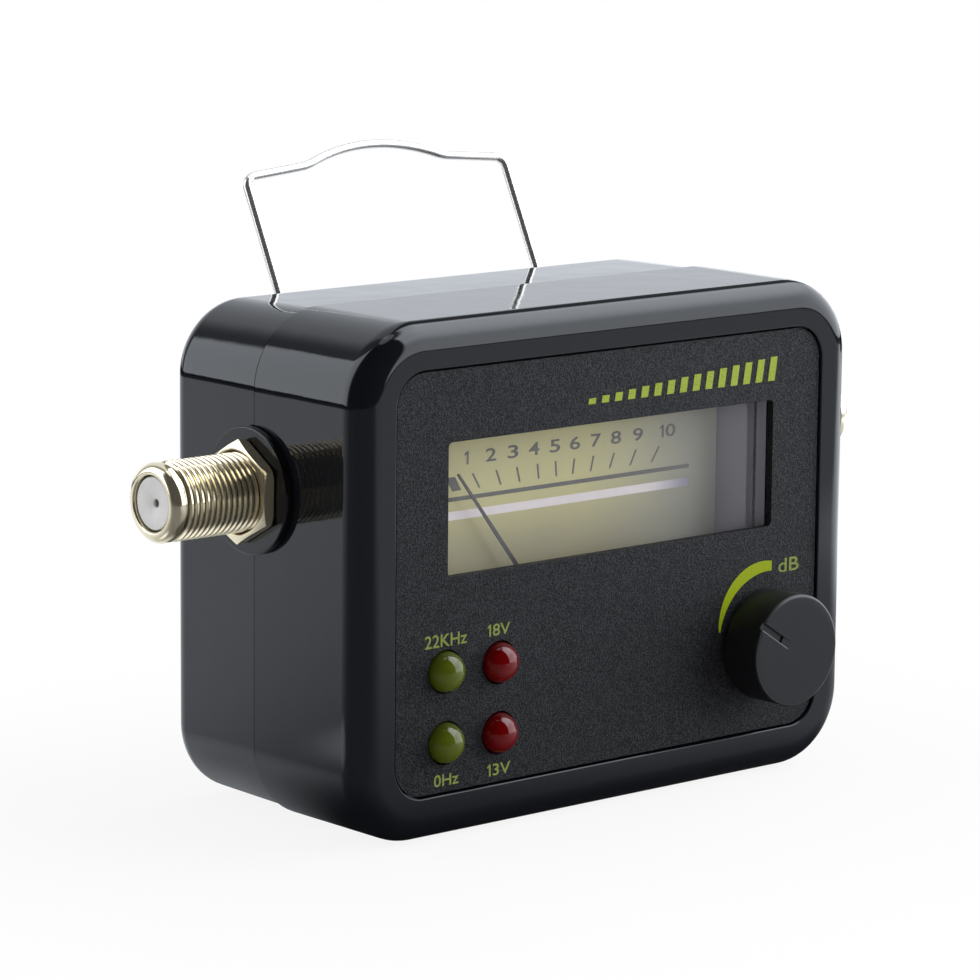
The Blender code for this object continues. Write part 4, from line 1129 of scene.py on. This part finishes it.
def hexNut(side):
    # chamfered at its outer corners
    corner = connector["nutWidth"] / 2 / math.cos(math.pi / 6) * mm
    tall = connector["nutTall"]
    bm = bmesh.new()
    bmesh.ops.create_cone(bm, cap_ends=True, segments=6, radius1=corner, radius2=corner, depth=tall * mm)
    bmesh.ops.translate(bm, verts=bm.verts, vec=(0, 0, tall / 2 * mm))
    spin = Matrix.Rotation(math.radians(-side * connector["nutTurn"]), 3, "Z")
    bmesh.ops.rotate(bm, verts=bm.verts, matrix=spin)
    cone = lathe([(0, 0), (5.9, 0), (6.4, 0.25), (6.4, 1.1), (5.35, tall), (0, tall)], 72)
    solid = combined(bm, [cone], "INTERSECT")
    bore = lathe([(0, -1), (4.96, -1), (4.96, 1.25), (5.15, 1.55), (5.15, 3), (0, 3)], 72)
    return combined(solid, [bore])


def addConnector(side, name):
    def add(title, bm, slot, node, out=0.0, **more):
        # the slot's name is also the look's
        place = sideward(side, side * (halfWide + out), casing["seam"], connector["rise"])
        finishPiece(title + name, moved(bm, place), slot, slot, [node + name], **more)

    add("barrel_", barrel(), "nickel", "f_connector_", sharp=28, even=True)
    add("nut_", hexNut(side), "nickel", "hex_nut_", connector["nutOut"], edge=0.06)
    rim = connector["washer"]
    disc = [(4.96, 1.1), *curl((rim - 0.25, 0.85), 0.25, 90, 0, 5), *curl((rim - 0.2, 0.4), 0.2, 0, -90, 4)]
    disc.append((4.96, 0.2))
    add("disc_", lathe(disc, 96, closed=True), "washer", "washer_", even=True)
    top = connector["reach"] - 0.33
    plug = [(0.9, top - 1.2), (0.52, top - 0.8), (0.52, top - 0.5), (0.75, top - 0.35), (1.9, top - 0.1)]
    plug += [(2.6, top), (3.05, top), (3.15, top - 0.12), (3.15, -6.5), (0.9, -6.5)]
    add("dielectric_", lathe(plug, 72, closed=True), "insulator", "insulator_", even=True)
    tip = connector["reach"] - 1.65
    contact = [(0, tip - 5), (0.4, tip - 5), (0.4, tip - 0.1), (0.5, tip), (0.62, tip), (0.7, tip - 0.1)]
    contact += [(0.7, -8.0), (0.4, -8.0), (0.4, -12.0), (0, -12.0)]
    add("contact_", lathe(contact, 32), "brass", "centre_contact_", even=True)


addConnector(-1, "left")
addConnector(1, "right")
print("connectors built")


# bail and screws

bail = {
    "wire": 0.55,
    "half": 21.2,
    "height": 17.0,  # at the corners; the shoulders rise from there to the hump
    "shoulder": 0.8,
    "hump": 2.2,
    "humpHalf": 11.1,
    "bend": 1.5,
    "foot": 4.4,
    "footBend": 1.0,
    "lean": 26.2,
}
screw = {"depth": 35.1, "slotHalf": 0.3, "slotReach": 1.2, "slotFloor": 0.7, "slotTop": 2.4}


def tube(points, radius, sides=20):
    # a round wire along points in the XZ plane
    rings = []
    aside = Vector((0, 1, 0))
    turns = [math.tau * k / sides for k in range(sides)]
    for i, point in enumerate(points):
        before, after = points[max(i - 1, 0)], points[min(i + 1, len(points) - 1)]
        along = Vector((after[0] - before[0], 0, after[1] - before[1])).normalized()
        across = along.cross(aside)
        middle = Vector((point[0], 0, point[1]))
        rings.append([(middle + (across * math.cos(a) + aside * math.sin(a)) * radius) * mm for a in turns])
    return skin(rings)


def wireBail():
    foot, bend, half, tall = bail["footBend"], bail["bend"], bail["half"], bail["height"]
    rise, reach, shoulder = bail["hump"], bail["humpHalf"], bail["shoulder"]
    hump = (reach**2 + rise**2) / (2 * rise)
    spread = math.degrees(math.asin(reach / hump))
    left = [(bail["foot"] - half, 0), (foot + 0.6 - half, 0), *curl((foot - half, foot), foot, 270, 180, 10)]
    left += [(-half, tall * share) for share in (0.2, 0.4, 0.6, 0.8)]
    left += curl((bend - half, tall - bend), bend, 180, 94, 14)
    left += [((1 - share) * (bend - half) - share * reach, tall + share * shoulder) for share in (0.3, 0.6, 0.93)]
    arch = curl((0, tall + shoulder + rise - hump), hump, 90 + spread, 90 - spread, 40)[1:-1]
    right = [(-x, z) for x, z in reversed(left)]
    wire = tube(left + arch + right, bail["wire"])
    lean = Matrix.Rotation(math.radians(-bail["lean"]), 4, "X")
    wire = moved(wire, Matrix.Translation(at(0, lug["depth"], lug["z"])) @ lean)
    finishPiece("bent_wire_bail", wire, "wire", "chrome", ["bail"], body="bail", sharp=50)


def caseScrews():
    # pan heads with a cross slot, deep in the rear casing
    half, reach, low, high = (screw[key] for key in ("slotHalf", "slotReach", "slotFloor", "slotTop"))
    profile = [(0, 1.4), (0.9, 1.38), (1.5, 1.2), (1.8, 0.85), (1.9, 0.4), (1.85, 0), (1.0, 0)]
    profile += [(1.0, -22.8), (0.6, -23.1), (0, -23.1)]
    for name, (x, z) in zip(("left_lower", "left_upper", "right_lower", "right_upper"), screwPlaces):
        slots = [bar((-reach, -half, low), (reach, half, high)), bar((-half, -reach, low), (half, reach, high))]
        solid = moved(combined(lathe(profile, 40), slots), backward(x, screw["depth"], z))
        finishPiece("back_screw_" + name, solid, "screw_steel", "steel", ["case_screw_" + name], even=True)


wireBail()
caseScrews()
print("bail and screws built")


# finishes for the nodes that stay as they are

def laminate():
    sheet = newLook("boardLaminate", roughness=0.4)
    weave = sheet.node("TexChecker", {}, {"Vector": sheet.place(), "Scale": 2.5 / mm}, 1)
    cloud = sheet.noise(0.4)
    sheet.feed(baseColor=sheet.blend(weave * 0.12 + cloud * 0.2, (0.01, 0.085, 0.03), (0.045, 0.2, 0.08)))
    return sheet.bumped(weave, 0.01, 0.3)


def woundCopper():
    sheet = newLook("woundCopper", metallic=0.85)
    sockets = {"Vector": sheet.place(), "Scale": 1.6 / mm, "Distortion": 0.4}
    strands = sheet.node("TexWave", {"bands_direction": "Y"}, sockets, 1)
    sheet.feed(
        baseColor=sheet.blend(strands, (0.34, 0.1, 0.035), (0.8, 0.33, 0.14)), roughness=0.45 - strands * 0.15
    )
    return sheet.bumped(strands, 0.04, 0.6)


def bandedSleeve():
    # a dark sleeve with one pale stripe
    sheet = newLook("capacitorSleeve", roughness=0.3)
    (side,) = sheet.along(0)
    tone = sheet.blend(side.fall(-3.4, -3.0), (0.012, 0.02, 0.09), (0.4, 0.41, 0.42))
    sheet.feed(baseColor=sheet.blend(sheet.noise(1.5, 3.0) * 0.2, tone, (0.006, 0.01, 0.045)))
    return sheet.bumped(sheet.noise(1.0), 0.02, 0.3)


kept = {
    "meter_window": looks["cover"],
    "meter_case": moulded("meterCaseBlack", (0.012, 0.012, 0.013), (0.02, 0.02, 0.021), gloss=0.5),
    "moving_coil": woundCopper(),
    "hairspring": metal("springBronze", (0.6, 0.36, 0.14), (0.42, 0.25, 0.1), gloss=0.22, grain=6.0, depth=0.002),
    "magnet_core": metal("softIron", (0.36, 0.36, 0.37), (0.24, 0.24, 0.25), gloss=0.35, depth=0.006),
    "magnet_ring": metal("ringIron", (0.33, 0.33, 0.34), (0.2, 0.2, 0.21), gloss=0.4, grain=2.5, depth=0.008),
    "pivot_bridge": looks["brass"],
    "meter_terminal_left": looks["brass"],
    "meter_terminal_right": looks["brass"],
    "main_board": laminate(),
    "gain_control": moulded("controlHousing", (0.025, 0.055, 0.16), (0.035, 0.075, 0.21), gloss=0.4),
    "gain_shaft": moulded("shaftPlastic", (0.7, 0.7, 0.67), (0.6, 0.6, 0.56), gloss=0.45),
    "amplifier_chip": moulded(
        "chipBody", (0.014, 0.014, 0.015), (0.024, 0.024, 0.026), gloss=0.5, grain=6.0, depth=0.01
    ),
    "supply_regulator": moulded(
        "regulatorBody", (0.012, 0.012, 0.013), (0.022, 0.022, 0.023), gloss=0.45, grain=6.0, depth=0.01
    ),
    "filter_capacitor": bandedSleeve(),
    "input_choke": moulded(
        "chokeLacquer", (0.02, 0.17, 0.11), (0.04, 0.24, 0.16), gloss=0.3, grain=2.0, depth=0.02, coat=0.3
    ),
}
for name, look in kept.items():
    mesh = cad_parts[name].data
    mesh.materials.clear()
    mesh.materials.append(look)
print("finishes given to the inner parts")
